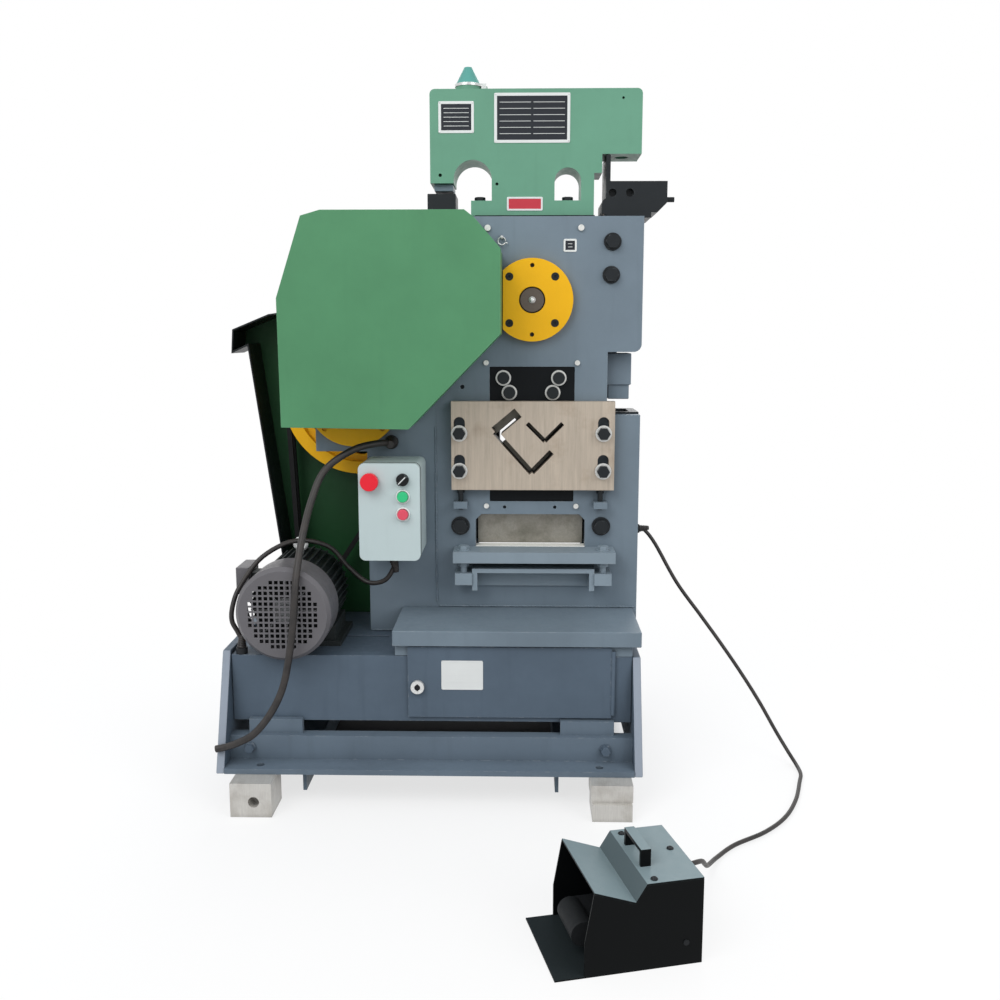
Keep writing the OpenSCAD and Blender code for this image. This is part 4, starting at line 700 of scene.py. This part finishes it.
# Cords: round rubber-sheathed cables with ribbed boots, on routes in millimetres. The foot switch's
# cable hangs from the frame's right side and lies on the floor, the supply tail hangs in front of the
# motor, and the motor lead loops over its fins.
CABLE_ROUTE = ((492, -35, 557), (504, -35, 554), (531, -40, 520), (585, -50, 425), (644, -60, 345),
               (692, -75, 280), (741, -90, 210), (786, -105, 140), (826, -122, 70),
               (852, -145, 27), (864, -185, 8), (862, -230, 6), (848, -275, 6), (815, -370, 6),
               (770, -457, 6), (711, -526, 6), (637, -583, 6), (590, -640, 8), (562, -700, 24),
               (546, -755, 55), (532, -798, 84), (512, -826, 95), (494, -836, 95),
               (483.92, -839.23, 95))
TAIL_ROUTE = ((-105, -144, 780), (-106, -168, 780), (-128, -205, 784), (-180, -232, 772),
              (-240, -255, 730), (-266, -290, 666), (-278, -352, 585), (-284, -396, 506),
              (-289, -408, 424), (-301, -412, 336), (-317, -414, 268), (-343, -424, 215),
              (-377, -432, 174), (-415, -424, 150), (-445, -413, 136), (-468, -411, 130))
LEAD_ROUTE = ((-95, -205, 511), (-95, -205, 495), (-118, -200, 462), (-160, -190, 455),
              (-205, -185, 490), (-250, -190, 540), (-320, -225, 560), (-388, -265, 530),
              (-432, -295, 470), (-446, -312, 430), (-448, -318, 396), (-436, -318, 370),
              (-428, -318, 352), (-428, -318, 334))
STEPS_BETWEEN = 6
BOOT_AIM = 4
BOOT_REACH, BOOT_RIBS = 2.6, 5


def run_of(route):
    pts = [Vector(p) / 1000 for p in route]
    line = []
    for i in range(len(pts) - 1):
        a, b, c, d = pts[max(i - 1, 0)], pts[i], pts[i + 1], pts[min(i + 2, len(pts) - 1)]
        for j in range(STEPS_BETWEEN):
            t = j / STEPS_BETWEEN
            line.append(0.5 * (2 * b + (c - a) * t + (2 * a - 5 * b + 4 * c - d) * t * t
                               + (3 * b - a - 3 * c + d) * t ** 3))
    return line + [pts[-1]]


def boot_profile(thick):
    reach = BOOT_REACH * thick
    rings = [(thick * 0.95, 0.0)]
    for k in range(BOOT_RIBS):
        start = reach * (0.08 + 0.84 * k / BOOT_RIBS)
        wide = thick * (0.92 - 0.28 * k / BOOT_RIBS)
        rings += [(wide, start), (wide, start + 0.09 * reach),
                  (wide * 0.86, start + 0.1 * reach), (wide * 0.86, start + 0.14 * reach)]
    return rings + [(thick * 0.56, reach - 0.001), (thick * 0.53, reach)]


sheath, tree, bsdf = blank("rubber_sheath")
at = node(tree, "TexCoord").outputs["Object"]
dusty = mottle(tree, at, 34.0, 6.0, 0.65)
tint = blended(tree, remap(tree, dusty, 0.35, 0.75), srgb("#151213"), srgb("#3a3532"))
tree.links.new(tint, bsdf.inputs["Base Color"])
tree.links.new(remap(tree, dusty, 0.3, 0.7, 0.36, 0.62), bsdf.inputs["Roughness"])
bump = node(tree, "Bump", {"Height": mottle(tree, at, 900.0, 2.0), "Strength": 0.12,
                           "Distance": 0.0004})
tree.links.new(bump.outputs[0], bsdf.inputs["Normal"])

for title, cad, route, thick, far, lay, firm in (
        ("pedal_cord", "pedal_cable", CABLE_ROUTE, 0.009, "object", "loose", "medium"),
        ("supply_cord", "power_tail", TAIL_ROUTE, 0.016, "bare", "hanging", "stiff"),
        ("motor_cord", "motor_lead", LEAD_ROUTE, 0.011, "object", "loose", "medium")):
    line = run_of(route)
    cord = drawn(title, line, thick / 2, 5, sheath)
    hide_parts(cad)
    for tag, first, second in (("exit", line[0], line[BOOT_AIM]),
                               ("end", line[-1], line[-1 - BOOT_AIM])):
        if tag == "exit" or far == "object":
            name = f"{title}_boot_{tag}"
            boot = turned_about(name, first, second - first, boot_profile(thick))
            placed(name, boot, sheath, "frame")
